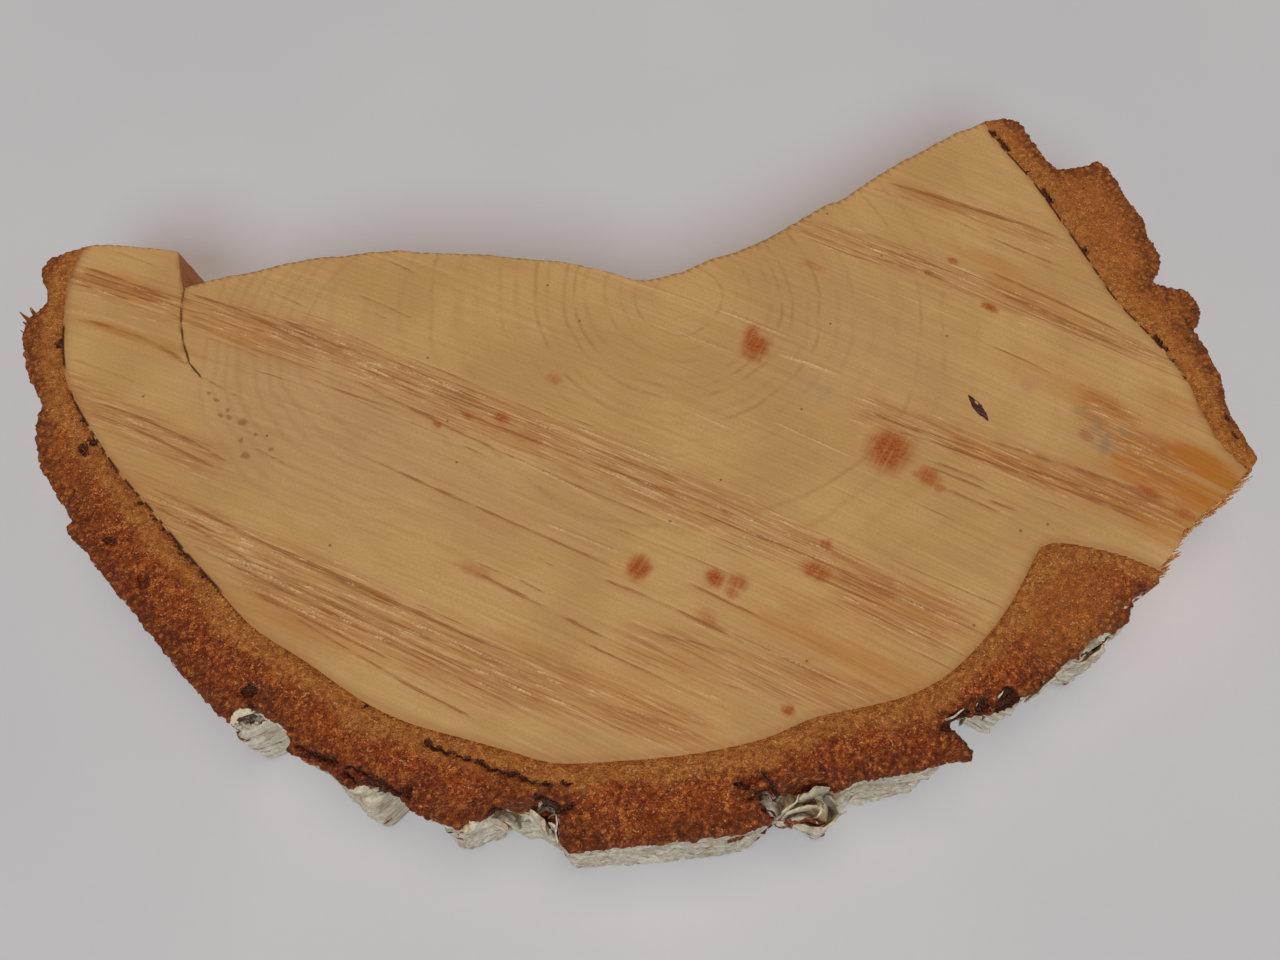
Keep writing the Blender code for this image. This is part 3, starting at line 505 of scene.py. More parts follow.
def swell(points, seed):
    """Smooth noise from -1 to 1, with about one swell to a unit."""
    base = np.floor(points).astype(np.int64)
    part = points - base
    part = part * part * (3.0 - 2.0 * part)
    total = 0.0
    for corner in itertools.product((0, 1), repeat=3):
        weight = np.prod(np.where(corner, part, 1.0 - part), axis=-1)
        total = total + weight * cell_number(base + corner, seed)
    return 2.0 * total - 1.0


def swells(points, size, octaves, seed):
    """Noise whose largest swells have the given size, one number or one for each axis."""
    points = points / np.asarray(size)
    return sum(swell(points * 2.0**k, seed + k) * 0.5**k for k in range(octaves))


def grains(points, size, seed):
    """Packed grains: distance to the nearest centre and to the next, in grain sizes, and the grain's tone."""
    points = points / size
    base = np.floor(points).astype(np.int64)
    near = np.full(len(points), 9.0)
    far = near.copy()
    tone = np.zeros(len(points))
    for step in itertools.product((-1, 0, 1), repeat=3):
        cell = base + step
        centre = cell + np.stack([cell_number(cell, seed + axis) for axis in range(3)], -1)
        gap = np.linalg.norm(points - centre, axis=-1)
        closer = gap < near
        far = np.where(closer, near, np.minimum(far, gap))
        tone[closer] = cell_number(cell[closer], seed + 7)
        near = np.minimum(near, gap)
    return near, far, tone


def nearest_on(points, line, closed=False):
    """Each point's distance to a line, and how far along the line its nearest place is."""
    line = np.asarray(line, float)
    ends = np.roll(line, -1, 0) if closed else line[1:]
    best = np.full(len(points), 1e9)
    place = np.zeros(len(points))
    run = 0.0
    for start, end in zip(line, ends):
        side = end - start
        length = np.hypot(*side)
        if length == 0.0:
            continue
        share = np.clip((points - start) @ side / length**2, 0.0, 1.0)
        gap = np.hypot(*(points - start - share[:, None] * side).T)
        closer = gap < best
        best[closer] = gap[closer]
        place[closer] = run + share[closer] * length
        run += length
    return best, place


def across_saw(x, y):
    """A place's distance across the saw arcs."""
    return y + SAW_SLOPE * x + SAW_BEND * x * x


def cad_copy(name):
    """A merged copy of a solid, in millimetres."""
    mesh = bmesh.new()
    mesh.from_mesh(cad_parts[name].data)
    bmesh.ops.scale(mesh, vec=(1 / MM,) * 3, verts=mesh.verts)
    bmesh.ops.remove_doubles(mesh, verts=mesh.verts, dist=0.002)
    return mesh


def sawn_faces(mesh):
    """The faces of a solid's sawn top."""
    level = [f for f in mesh.faces if f.normal.z > LEVEL_NORMAL]
    return [f for f in level if min(v.co.z for v in f.verts) > THICKNESS - LEVEL_SLACK]


def sawn_outline(mesh):
    """The outline of a solid's sawn top, from its leftmost point on and first towards +Y."""
    top = set(sawn_faces(mesh))
    rim = {e for f in top for e in f.edges if sum(g in top for g in e.link_faces) == 1}
    loops = []
    while rim:
        edge = rim.pop()
        first, vert = edge.verts
        loop = [first]
        while vert is not first:
            loop.append(vert)
            edge = next(e for e in vert.link_edges if e in rim)
            rim.discard(edge)
            vert = edge.other_vert(vert)
        loops.append([tuple(v.co.xy) for v in loop])
    line = np.array(max(loops, key=len))
    line = np.roll(line, -line[:, 0].argmin(), axis=0)
    return line if line[1, 1] > line[-1, 1] else np.roll(line[::-1], 1, axis=0)


def beside(x, y, x0, y0, x1, y1):
    """Each place's share of the way along a line, and how far to the line's left it is."""
    length = math.hypot(x1 - x0, y1 - y0)
    along = ((x - x0) * (x1 - x0) + (y - y0) * (y1 - y0)) / length**2
    return along, ((y - y0) * (x1 - x0) - (x - x0) * (y1 - y0)) / length


def streak(x, y, mark):
    """How much of a streak each place has."""
    bow, half_width, strength = mark[4:]
    half_width *= STREAK_WIDTH
    along, aside = beside(x, y, *mark[:4])
    aside = aside - bow * 4.0 * along * (1.0 - along)
    ends = unit(along, 0.0, 0.12) * unit(1.0 - along, 0.0, 0.2)
    return strength * ends * np.exp(-((aside / half_width) ** 2))


def streaks(x, y, marks):
    """The sum of many streaks at each place."""
    total = np.zeros_like(x)
    for mark in marks:
        x0, y0, x1, y1, bow, half_width, _ = mark
        reach = 3.0 * half_width + abs(bow)
        near_x = (x > min(x0, x1) - reach) & (x < max(x0, x1) + reach)
        near_y = (y > min(y0, y1) - reach) & (y < max(y0, y1) + reach)
        near = np.flatnonzero(near_x & near_y)
        total[near] += streak(x[near], y[near], mark)
    return total


def patch(x, y, mark):
    """How much of an oval patch, laid along the saw arcs, each place has."""
    x0, y0, along, across, strength = mark
    slope = SAW_SLOPE + 2.0 * SAW_BEND * x0
    turn = math.hypot(1.0, slope)
    u = ((x - x0) - (y - y0) * slope) / turn
    v = ((y - y0) + (x - x0) * slope) / turn
    return strength * np.exp(-(((u / along) ** 2 + (v / across) ** 2) ** 1.5))


def patches(x, y, marks):
    """How much of the listed patches each place has in all, from 0 to 1."""
    return np.clip(sum(patch(x, y, mark) for mark in marks), 0.0, 1.0)


def band_share(x, y):
    """How much of a band of torn fibre each place has."""
    total = np.zeros_like(x)
    for *line, wide0, wide1, _, _ in TORN_BANDS:
        along, aside = beside(x, y, *line)
        half = wide0 + (wide1 - wide0) * np.clip(along, 0.0, 1.0)
        ends = unit(along, -0.08, 0.15) * unit(1.08 - along, 0.0, 0.25)
        total = np.maximum(total, ends * unit(1.15 - np.abs(aside) / half, 0.0, 0.7))
    return total


def band_marks():
    """The random lines and torn bits of the bands, each as a streak."""
    draw = np.random.default_rng(BAND_SEED)
    lines, bits = [], []
    for x0, y0, x1, y1, wide0, wide1, line_count, bit_count in TORN_BANDS:
        length = math.hypot(x1 - x0, y1 - y0)
        along = np.array([x1 - x0, y1 - y0]) / length
        aside = np.array([-along[1], along[0]])
        kinds = ((lines, line_count, BAND_LINE_LENGTH), (bits, bit_count, BAND_BIT_LENGTH))
        for kind, count, sizes in kinds:
            for _ in range(count):
                share = draw.random()
                half = wide0 + (wide1 - wide0) * share
                spot = np.array([x0, y0]) + along * share * length
                spot = spot + aside * half * np.clip(draw.normal(0.0, 0.55), -1.4, 1.4)
                size = draw.uniform(*sizes)
                start, end = spot - along * size / 2, spot + along * size / 2
                width = draw.uniform(0.08, 0.16)
                kind.append((*start, *end, 0.0, width, draw.uniform(0.2, 1.0) ** 1.5))
    return lines, bits


BAND_LINES, BAND_BITS = band_marks()


def wood_marks(x, y):
    """The marks of the sawn wood, each as a share from 0 to 1 for every place."""
    flat = np.stack([x, y, np.zeros_like(x)], -1)
    arcs = np.stack([x * 0.06, across_saw(x, y), np.zeros_like(x)], -1)
    uneven = 0.75 + 0.45 * swells(flat, 2.4, 2, 5)
    marks = {}
    dark = streaks(x, y, DARK_STREAKS) * uneven
    marks["dark"] = np.clip(dark + 0.8 * streaks(x, y, BAND_LINES) * uneven, 0.0, 1.0)
    pale = streaks(x, y, PALE_STREAKS) * uneven
    marks["torn"] = np.clip(pale + streaks(x, y, BAND_BITS), 0.0, 1.0)
    wobble = 0.35 * swells(flat, (3.0, 3.0, 1.0), 3, 19)
    wx, wy = x + wobble, y - wobble
    uneven_stain = np.clip(0.8 + 0.5 * swells(arcs, (1.0, 1.6, 1.0), 3, 23), 0.0, 1.2)
    marks["orange"] = patches(wx, wy, ORANGE_STAINS) * uneven_stain
    marks["reddish"] = patches(wx, wy, REDDISH_PATCHES)
    marks["heart"] = patches(x, y, HEART)
    marks["smudge"] = patches(wx, wy, GREY_SMUDGES)
    marks["rough"] = band_share(x, y)
    return marks


def sawn_height(x, y):
    """Height of the sawn wood's surface over each place."""
    marks = wood_marks(x, y)
    arcs = np.stack([x * 0.05, across_saw(x, y), np.zeros_like(x)], -1)
    saw = 0.03 * swells(arcs, (1.0, 0.8, 1.0), 3, 31)
    rough = 0.10 * marks["torn"] - 0.11 * marks["dark"]
    return THICKNESS - 0.06 + saw + rough


def grid_solid(name, x, y, z, foot):
    """A solid under a grid of points, down to a level foot."""
    rows, columns = x.shape
    index = np.arange(rows * columns).reshape(rows, columns)
    quads = np.stack([index[:-1, :-1], index[:-1, 1:], index[1:, 1:], index[1:, :-1]], -1).reshape(-1, 4)
    rim = np.concatenate([index[0, :-1], index[:-1, -1], index[-1, :0:-1], index[:0:-1, 0]])
    top = np.stack([x.ravel(), y.ravel(), z.ravel()], -1)
    low = top[rim].copy()
    low[:, 2] = foot
    base = len(top) + np.arange(len(rim))
    sides = np.stack([rim, base, np.roll(base, -1), np.roll(rim, -1)], -1)
    faces = quads.tolist() + sides.tolist() + [base[::-1].tolist()]
    return new_object(name, np.concatenate([top, low]), faces)


def linked(name, data):
    """An object of the scene that holds a mesh, a lamp or a camera."""
    made = bpy.data.objects.new(name, data)
    bpy.context.scene.collection.objects.link(made)
    return made


def object_from(name, mesh):
    """An object from a bmesh in millimetres, which is scaled to metres."""
    bmesh.ops.scale(mesh, vec=(MM,) * 3, verts=mesh.verts)
    data = bpy.data.meshes.new(name)
    mesh.to_mesh(data)
    return linked(name, data)


def new_object(name, points, faces):
    """A mesh object from points in millimetres."""
    mesh = bpy.data.meshes.new(name)
    mesh.from_pydata((np.asarray(points) * MM).tolist(), [], faces)
    mesh.update()
    return linked(name, mesh)


def applied(made, kind, **settings):
    """Sets the object's mesh to what a modifier makes of it."""
    modifier = made.modifiers.new("change", kind)
    for name, value in settings.items():
        setattr(modifier, name, value)
    shape = made.evaluated_get(bpy.context.evaluated_depsgraph_get())
    mesh = bpy.data.meshes.new_from_object(shape)
    made.modifiers.remove(modifier)
    made.data = mesh
    return made


def points_of(mesh):
    """The mesh's points, in millimetres."""
    found = np.empty(len(mesh.vertices) * 3)
    mesh.vertices.foreach_get("co", found)
    return found.reshape(-1, 3) / MM


def normals_of(mesh):
    """The normal at each of the mesh's points."""
    found = np.empty(len(mesh.vertices) * 3)
    mesh.vertex_normals.foreach_get("vector", found)
    return found.reshape(-1, 3)


def set_points(mesh, points):
    """Moves the mesh's points, given in millimetres."""
    mesh.vertices.foreach_set("co", (points * MM).ravel())
    mesh.update()


def set_mark(mesh, name, values):
    """Stores a value at each point for the material to read."""
    values = np.asarray(values, np.float32)
    if values.ndim == 1:
        mesh.attributes.new(name, "FLOAT", "POINT").data.foreach_set("value", values)
    else:
        mesh.attributes.new(name, "FLOAT_VECTOR", "POINT").data.foreach_set("vector", values.ravel())


CADS = {name: cad_copy(name) for name in ("wood", "bark_lower", "bark_upper")}
WOOD_OUTLINE = sawn_outline(CADS["wood"])
BARK_OUTLINES = {name: sawn_outline(CADS[name]) for name in ("bark_lower", "bark_upper")}


def from_bark(points):
    """Each place's distance to the nearer strip of bark."""
    return np.minimum(*(nearest_on(points, line, closed=True)[0] for line in BARK_OUTLINES.values()))


def wood_prism(mesh):
    """The wood solid with fibrous open walls, raised above the sawn face."""
    walls = [f for f in mesh.faces if abs(f.normal.z) < 0.7]
    centres = np.array([f.calc_center_median().xy for f in walls])
    open_walls = [f for f, gap in zip(walls, from_bark(centres)) if gap > SEAM_REACH]
    edges = list({e for f in open_walls for e in f.edges})
    bmesh.ops.subdivide_edges(mesh, edges=edges, cuts=WALL_CUTS, use_grid_fill=True)
    mesh.normal_update()
    verts = list({v for f in mesh.faces if abs(f.normal.z) < 0.7 for v in f.verts})
    points = np.array([v.co for v in verts])
    normals = np.array([v.normal for v in verts])
    normals[:, 2] = 0.0
    normals /= np.maximum(np.linalg.norm(normals, axis=1), 1e-6)[:, None]
    crack, _ = nearest_on(points[:, :2], CRACK_LINE)
    free = unit(from_bark(points[:, :2]), 0.4, 2.0) * unit(crack, 0.5, 1.6)
    relief = FIBRE_RELIEF * swells(points, FIBRE_PATCH, 2, 61)
    relief = relief + SHARD_RELIEF * swells(points, SHARD_PATCH, 2, 67)
    moved = points + normals * (relief * free)[:, None]
    line = np.array([place_on(CRACK_LINE, place) for place in nearest_on(points[:, :2], CRACK_LINE)[1]])
    pull = CRACK_NARROWING * (crack < 0.45) * unit(21.0 - points[:, 1], 0.0, 1.5)
    moved[:, :2] += (line - points[:, :2]) * pull[:, None]
    for vert, place in zip(verts, moved):
        vert.co = place
    mesh.normal_update()
    top = sawn_faces(mesh)
    lifted = bmesh.ops.extrude_face_region(mesh, geom=top)["geom"]
    lifted = [part for part in lifted if isinstance(part, bmesh.types.BMVert)]
    bmesh.ops.translate(mesh, vec=(0, 0, PRISM_LIFT), verts=lifted)
    bmesh.ops.delete(mesh, geom=[f for f in top if f.is_valid], context="FACES")
    bmesh.ops.recalc_face_normals(mesh, faces=mesh.faces)
    bmesh.ops.triangulate(mesh, faces=[f for f in mesh.faces if len(f.verts) > 4])
    return object_from("wood_prism", mesh)


def place_on(line, run):
    """The point of a line at a distance from its start."""
    for start, end in zip(line, line[1:]):
        length = math.dist(start, end)
        if run <= length:
            share = run / length
            return (start[0] + share * (end[0] - start[0]), start[1] + share * (end[1] - start[1]))
        run -= length
    return line[-1]


def fringe():
    """Torn fibres that stand out along the broken right end."""
    draw = np.random.default_rng(FRINGE_SEED)
    line = smooth_line(BROKEN_END, 0.2)
    forms = []
    for _ in range(FRINGE_COUNT):
        place = draw.integers(1, len(line) - 1)
        run = line[place + 1] - line[place - 1]
        run = run / np.hypot(*run)
        out = np.array([run[1], -run[0]])
        reach = draw.uniform(*FRINGE_REACH)
        lean = draw.normal(0.0, 0.35)
        foot = np.array([*(line[place] - 0.3 * out), THICKNESS - draw.uniform(*FRINGE_DROP)])
        tip = np.array([*(line[place] + out * reach + run * lean), THICKNESS - draw.uniform(0.0, 0.7)])
        width = draw.uniform(0.16, 0.42)
        forms.append(sliver(foot, tip, np.array([*run, 0.0]) * width, draw.uniform(0.12, 0.26)))
    return forms


def make_wood():
    """The wood body: a finely sawn top within fibrous walls."""
    x, across = np.meshgrid(np.arange(*SLAB_X, SAW_STEP_ALONG), np.arange(*SLAB_ACROSS, SAW_STEP_ACROSS))
    y = across - SAW_SLOPE * x - SAW_BEND * x * x
    flat = np.stack([x.ravel(), y.ravel()], -1)
    low, high = WOOD_OUTLINE.min(0) - 1.0, WOOD_OUTLINE.max(0) + 1.0
    near = np.flatnonzero(((flat > low) & (flat < high)).all(1))
    z = np.full(x.size, THICKNESS)
    z[near] = sawn_height(*flat[near].T)
    z = z.reshape(x.shape)
    slab = grid_solid("slab", x, y, z, SLAB_FOOT)
    made = wood_prism(CADS["wood"])
    applied(made, "BOOLEAN", operation="INTERSECT", solver="MANIFOLD", object=slab)
    bpy.data.objects.remove(slab)
    body_count = len(made.data.vertices)
    joined(made.data, *gathered(fringe()))
    torn_end = np.arange(len(made.data.vertices)) >= body_count
    points = points_of(made.data)
    x, y, z = points.T
    marks = wood_marks(x, y)
    for name, values in marks.items():
        set_mark(made.data, name, values)
    set_mark(made.data, "saw", np.stack([x * 0.05, across_saw(x, y), z * 0.2], -1))
    warp = RING_WARP * swells(points, (16.0, 16.0, 60.0), 3, 71)
    set_mark(made.data, "radius", np.hypot(x - PITH[0], y - PITH[1]) + warp)
    set_mark(made.data, "below", np.maximum(unit(THICKNESS - z, 0.12, 0.4), torn_end))
    edge = from_bark(points[:, :2])
    set_mark(made.data, "from_bark", edge)
    seam_gap = np.min([nearest_on(points[:, :2], line)[0] for line in DARK_SEAMS], axis=0)
    set_mark(made.data, "seam", unit(2.5 - seam_gap, 0.0, 1.0))
    broken = unit(x, BROKEN_X, BROKEN_X + 2.5) * unit(BROKEN_Y - y, -1.0, 0.5) * unit(edge, 0.2, 0.8)
    set_mark(made.data, "broken", np.maximum(broken, torn_end))
    notch_x, notch_y, notch_reach = NOTCH
    notch = unit(notch_reach - np.hypot(x - notch_x, y - notch_y), 0.0, 0.5)
    set_mark(made.data, "notch", notch)
    finish_piece(made, wood_paint())
    return made


def oval(points, mark):
    """How much of a turned oval each place has: x, y, half length, half width, turn in degrees."""
    x0, y0, half_length, half_width, turn = mark
    c, s = math.cos(math.radians(turn)), math.sin(math.radians(turn))
    dx, dy = points[:, 0] - x0, points[:, 1] - y0
    u, v = (dx * c + dy * s) / half_length, (dy * c - dx * s) / half_width
    return unit(1.6 - np.hypot(u, v), 0.0, 0.9)


def line_depth(flat, line, half_width):
    """How far inside a drawn line each place is. Outside the line this is below 0."""
    return LINE_WIDTH * half_width - nearest_on(flat, line)[0]


def joined(mesh, points, faces):
    """Adds closed small forms, given in millimetres, to a mesh."""
    extra = bpy.data.meshes.new("extra")
    extra.from_pydata((np.asarray(points) * MM).tolist(), [], faces)
    both = bmesh.new()
    both.from_mesh(mesh)
    both.from_mesh(extra)
    bmesh.ops.recalc_face_normals(both, faces=both.faces)
    both.to_mesh(mesh)
    both.free()


def smooth_line(line, step):
    """Points an even step apart on a smooth curve through a line's points."""
    line = np.asarray(line, float)
    padded = np.vstack([2 * line[0] - line[1], line, 2 * line[-1] - line[-2]])
    share = np.linspace(0.0, 1.0, 8, endpoint=False)[:, None]
    pieces = []
    for before, start, end, after in zip(padded, padded[1:], padded[2:], padded[3:]):
        bend = 2 * before - 5 * start + 4 * end - after
        twist = 3 * start - before - 3 * end + after
        pieces.append(start + 0.5 * share * ((end - before) + share * (bend + share * twist)))
    curve = np.vstack(pieces + [line[-1:]])
    along = np.concatenate([[0.0], np.cumsum(np.linalg.norm(np.diff(curve, axis=0), axis=1))])
    wanted = np.linspace(0.0, along[-1], max(3, int(along[-1] / step) + 1))
    return np.stack([np.interp(wanted, along, curve[:, axis]) for axis in (0, 1)], 1)


def flake(line, low, high, thick, seed):
    """The points and faces of a thin upright flake of bark that follows a line, ragged at its top."""
    path = smooth_line(line, FLAKE_STEP)
    run = np.gradient(path, axis=0)
    aside = np.stack([run[:, 1], -run[:, 0]], 1) / np.linalg.norm(run, axis=1)[:, None]
    count = len(path)
    taper = np.minimum(1.0, 0.35 + 4.0 * np.minimum(np.arange(count), np.arange(count)[::-1]) / count)
    heights = np.linspace(0.0, 1.0, FLAKE_ROWS)
    ring = [(0.5, up) for up in heights] + [(-0.5, up) for up in heights[::-1]]
    rows = []
    for part, up in ring:
        spots = np.column_stack([path, np.full(count, low + (high - low) * up)])
        ragged = swells(spots + seed, (0.9, 0.9, 1.6), 2, seed)
        spots[:, 2] += 0.7 * up * swells(spots + seed, (0.7, 0.7, 50.0), 2, seed + 1)
        offset = part * thick * taper * (1.0 - 0.45 * up) + 0.16 * ragged
        spots[:, :2] += aside * offset[:, None]
        rows.append(spots)
    points = np.concatenate(rows)
    index = np.arange(len(points)).reshape(len(ring), count)
    around = np.roll(index, -1, 0)
    quads = np.stack([index[:, :-1], index[:, 1:], around[:, 1:], around[:, :-1]], -1).reshape(-1, 4)
    faces = quads.tolist() + [index[:, 0].tolist(), index[::-1, -1].tolist()]
    return points, faces


def sliver(foot, tip, aside, thick):
    """The points and faces of a tapered splinter from its foot to its tip."""
    foot, tip, aside = (np.asarray(v, float) for v in (foot, tip, aside))
    run = tip - foot
    other = np.cross(run, aside)
    other *= thick / max(np.linalg.norm(other), 1e-6)
    corners = [(-1, -1), (1, -1), (1, 1), (-1, 1)]
    base = [foot + (a * aside + b * other) / 2 for a, b in corners]
    end = [tip + SLIVER_TIP * (a * aside + b * other) / 2 for a, b in corners]
    faces = [(3, 2, 1, 0), (4, 5, 6, 7)] + [(k, (k + 1) % 4, (k + 1) % 4 + 4, k + 4) for k in range(4)]
    return np.array(base + end), faces


def gathered(forms):
    """The points and faces of many small forms as one list of each."""
    points, faces = [], []
    total = 0
    for spots, sides in forms:
        points.append(spots)
        faces += [[total + k for k in side] for side in sides]
        total += len(spots)
    return np.concatenate(points), faces


def add_forms(mesh, flakes, splinters, seed):
    """Adds flakes and splinters to a strip. Gives each point's tone, and 1 for the strip's own points."""
    body_count = len(mesh.vertices)
    forms = [flake(line, *sizes, seed + k) for k, (line, *sizes, _) in enumerate(flakes)]
    tones = [np.full(len(form[0]), each[-1]) for form, each in zip(forms, flakes)]
    forms += [sliver(*each) for each in splinters]
    tones += [np.full(8, SPLINTER_TONE)] * len(splinters)
    if forms:
        joined(mesh, *gathered(forms))
    own_tone = np.concatenate([np.zeros(body_count)] + tones)
    return own_tone, (np.arange(len(own_tone)) < body_count).astype(float)


def line_gaps(points, bent, body, seed):
    """How far inside the drawn cracks and clefts each place is. Outside them this is below 0."""
    gaps = np.full(len(points), CRACK_REACH)
    dashes = unit(swells(points, (0.9, 0.9, 4.0), 2, seed + 13), -0.75, -0.2)
    uneven = 0.07 * swells(points, (0.8, 0.8, 3.0), 2, seed + 15)
    swayed = (points[:, :2] + bent) / 2.0
    for line, half_width in BARK_CRACKS:
        gaps = np.maximum(gaps, line_depth(swayed, line, half_width) - 0.5 * (1.0 - dashes))
    for line, half_width in BARK_CLEFTS:
        gaps = np.maximum(gaps, line_depth(swayed, line, half_width) + uneven)
    middle, reach, further = DEEP_CLEFTS
    deeper = further * (np.abs(points[:, 0] - middle) < reach)
    covered = body * unit(points[:, 2] + deeper, THICKNESS - 9.0, THICKNESS - 3.0)
    return CRACK_REACH + (gaps - CRACK_REACH) * covered


def set_levels(moved, points, inner, pits, body):
    """Takes blocks down to their levels, fills deep pits, and sets the lower outer wall back."""
    flat, z = points[:, :2], points[:, 2]
    for mark, level in LOWERED:
        drop = (level - moved[:, 2]) * LOWERED_SHARE * oval(flat, mark) * body
        moved[:, 2] += np.where(moved[:, 2] > level, drop, 0.0)
    shallow = pits * body * PIT_FILLING * unit(z, THICKNESS - 4.0, THICKNESS - 3.0)
    moved[:, 2] += (THICKNESS - 0.2 - np.minimum(z, THICKNESS - 0.2)) * shallow
    moved[:, 2] = np.clip(moved[:, 2], 0.0, THICKNESS + 0.25)
    for x0, y0, reach, depth in UNDERCUTS:
        spread = unit(1.3 - np.hypot(flat[:, 0] - x0, flat[:, 1] - y0) / reach, 0.0, 0.8)
        spread = spread * unit(inner, 3.0, 7.0) * unit(THICKNESS - 0.5 - z, 0.0, 4.0) * body
        aim = np.array(UNDERCUT_AIM) - flat
        moved[:, :2] += aim / np.linalg.norm(aim, axis=1)[:, None] * (depth * spread)[:, None]


def lower_warmth(flat):
    """How much lighter and browner each place of the lower strip is: the hook and the left lobe."""
    x0, y0, reach, strength = WARM_HOOK
    hook = strength * unit(reach - np.hypot(flat[:, 0] - x0, flat[:, 1] - y0), 0.0, 6.0)
    start, full, lobe_strength = WARM_LOBE
    return np.maximum(unit(-flat[:, 0], start, full) * lobe_strength, hook)


def make_bark(name, voxel, seed, flakes, splinters):
    """A strip of bark: packed cork grains, an even inner layer, clefts and pits, and pale cork outside."""
    made = applied(object_from(name + "_skin", CADS[name]), "REMESH", mode="VOXEL", voxel_size=voxel * MM)
    own_tone, body = add_forms(made.data, flakes, splinters, seed)
    points, normals = points_of(made.data), normals_of(made.data)
    z = points[:, 2]
    flat = points[:, :2]
    inner, run = nearest_on(flat, WOOD_OUTLINE, closed=True)
    outline = BARK_OUTLINES[name]
    outer = np.full(len(points), 1e9)
    for spot in outline[nearest_on(outline, WOOD_OUTLINE, closed=True)[0] > SKIN_FROM]:
        outer = np.minimum(outer, np.hypot(*(flat - spot).T))
    top = unit(normals[:, 2], 0.45, 0.8) * unit(z, THICKNESS - 1.2, THICKNESS - 0.5)
    side = unit(0.7 - np.abs(normals[:, 2]), 0.0, 0.3)
    wobble = 0.7 * swells(points, 2.2, 3, seed)
    bent = flat + 0.45 * np.stack([swells(points, 0.9, 2, seed + 31), swells(points, 0.9, 2, seed + 37)], 1)
    band = unit(INNER_BAND - inner + 1.3 * wobble, -0.7, 0.9)
    near, far, tone = grains(points + 0.25 * wobble[:, None], GRAIN_SIZE, seed + 3)
    _, _, fine = grains(points, FINE_GRAIN_SIZE, seed + 5)
    edges = unit(0.22 - (far - near), 0.0, 0.22)
    coarse = unit(3.8 - outer + 1.5 * wobble, 0.0, 3.0) * (1.0 - band)
    loose = 0.35 * unit(swells(points, 3.2, 2, seed + 9), -0.3, 0.4) * (1.0 - band)
    loose = np.clip(loose + 0.8 * coarse, 0.0, 1.0)
    pits = np.clip(sum(oval(bent, mark) for mark in BARK_PITS), 0.0, 1.0)
    gaps = line_gaps(points, bent, body, seed)
    cracks = unit(gaps, -0.25, 0.1)
    dark = pits * unit(z, THICKNESS - 4.0, THICKNESS - 2.0) * body
    cork = cork_share(points, inner, side, pits, seed) * body
    wall = np.stack([run * 0.22, z * 0.9, inner * 0.4], -1)
    relief = (tone - 0.5) * GRAIN_RELIEF * (0.25 + loose) * (1.0 - 0.8 * band)
    relief -= edges * GRAIN_CREVICE * loose
    ridges = OUTSIDE_RIDGES * swells(wall, 1.0, 3, seed + 17)
    lumps = OUTSIDE_LUMPS * swells(points, 1.2, 2, seed + 18)
    relief += side * unit(inner, 1.6, 3.0) * (ridges + lumps)
    relief -= (CRACK_DEPTH * cracks + PIT_DEPTH * dark * (tone - 0.3)) * np.maximum(top, 0.5 * cork)
    relief += (fine - 0.5) * FINE_RELIEF * (1.0 - 0.7 * band)
    moved = points + normals * (relief * body)[:, None]
    facing_wood = unit(SEAM_REACH - inner, 0.3, 0.9) * (1.0 - unit(np.abs(normals[:, 2]), 0.4, 0.8)) * body
    moved += normals * (facing_wood * (SEAM_CLOSING - SEAM_OPENING * cracks))[:, None]
    set_levels(moved, points, inner, pits, body)
    set_points(made.data, moved)
    warm = lower_warmth(flat) if name == "bark_lower" else np.ones(len(points))
    cream = unit(sum(oval(flat, mark) for mark, _ in LOWERED), 0.3, 0.8) * unit(z, *CREAM_LEVELS)
    for mark, values in (
        ("band", band), ("crevice_shade", edges * loose), ("pit", dark), ("coarse", coarse), ("crack", gaps),
        ("cork", np.maximum(cork, (own_tone > 0.0) * np.minimum(own_tone, 1.0))),
        ("shade", np.maximum(own_tone - 1.0, 0.0)), ("warm", warm),
        ("rim", unit(0.65 - outer, 0.0, 0.5) * top * body), ("cream", cream * (flat[:, 0] < CREAM_END_X)),
        ("layers", np.stack([run * 0.12, inner * 1.6, z * 0.1], -1)), ("wall", wall),
    ):  # fmt: skip
        set_mark(made.data, mark, values)
    finish_piece(made, bark_paint(name + "_cork"))
    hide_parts(name)
    return made


def cork_share(points, inner, side, pits, seed):
    """How much of the pale outer cork each place of the bark has."""
    flat, z = points[:, :2], points[:, 2]
    mottle = swells(points, (3.0, 3.0, 2.0), 3, seed + 21)
    pale = unit(flat[:, 0], -46.0, -37.0) * unit(46.0 - flat[:, 1], 0.0, 60.0)
    pale = pale * unit(70.0 - flat[:, 0], 0.0, 10.0)
    skin = unit(inner, 3.0, 5.0) * side * unit(mottle + 0.9 * pale, 0.2, 0.6)
    skin = skin * unit(THICKNESS - z, 0.25, 0.7)
    listed = sum(oval(flat, mark) for mark in CORK_PATCHES)
    sunk = sum(oval(flat, mark) for mark, _ in LOWERED)
    low = np.maximum(unit(THICKNESS - z, 0.3, 0.9), unit(sunk, 0.4, 0.8))
    return np.clip(skin + listed * low, 0.0, 1.0) * (1.0 - pits)


def albedo(*screen):
    """The surface colour that looks like the given screen colour under this light."""
    shares = [value / 255 for value in screen]
    linear = [c / 12.92 if c <= 0.04045 else ((c + 0.055) / 1.055) ** 2.4 for c in shares]
    return tuple(c * gain for c, gain in zip(linear, LIGHT_GAIN)) + (1.0,)


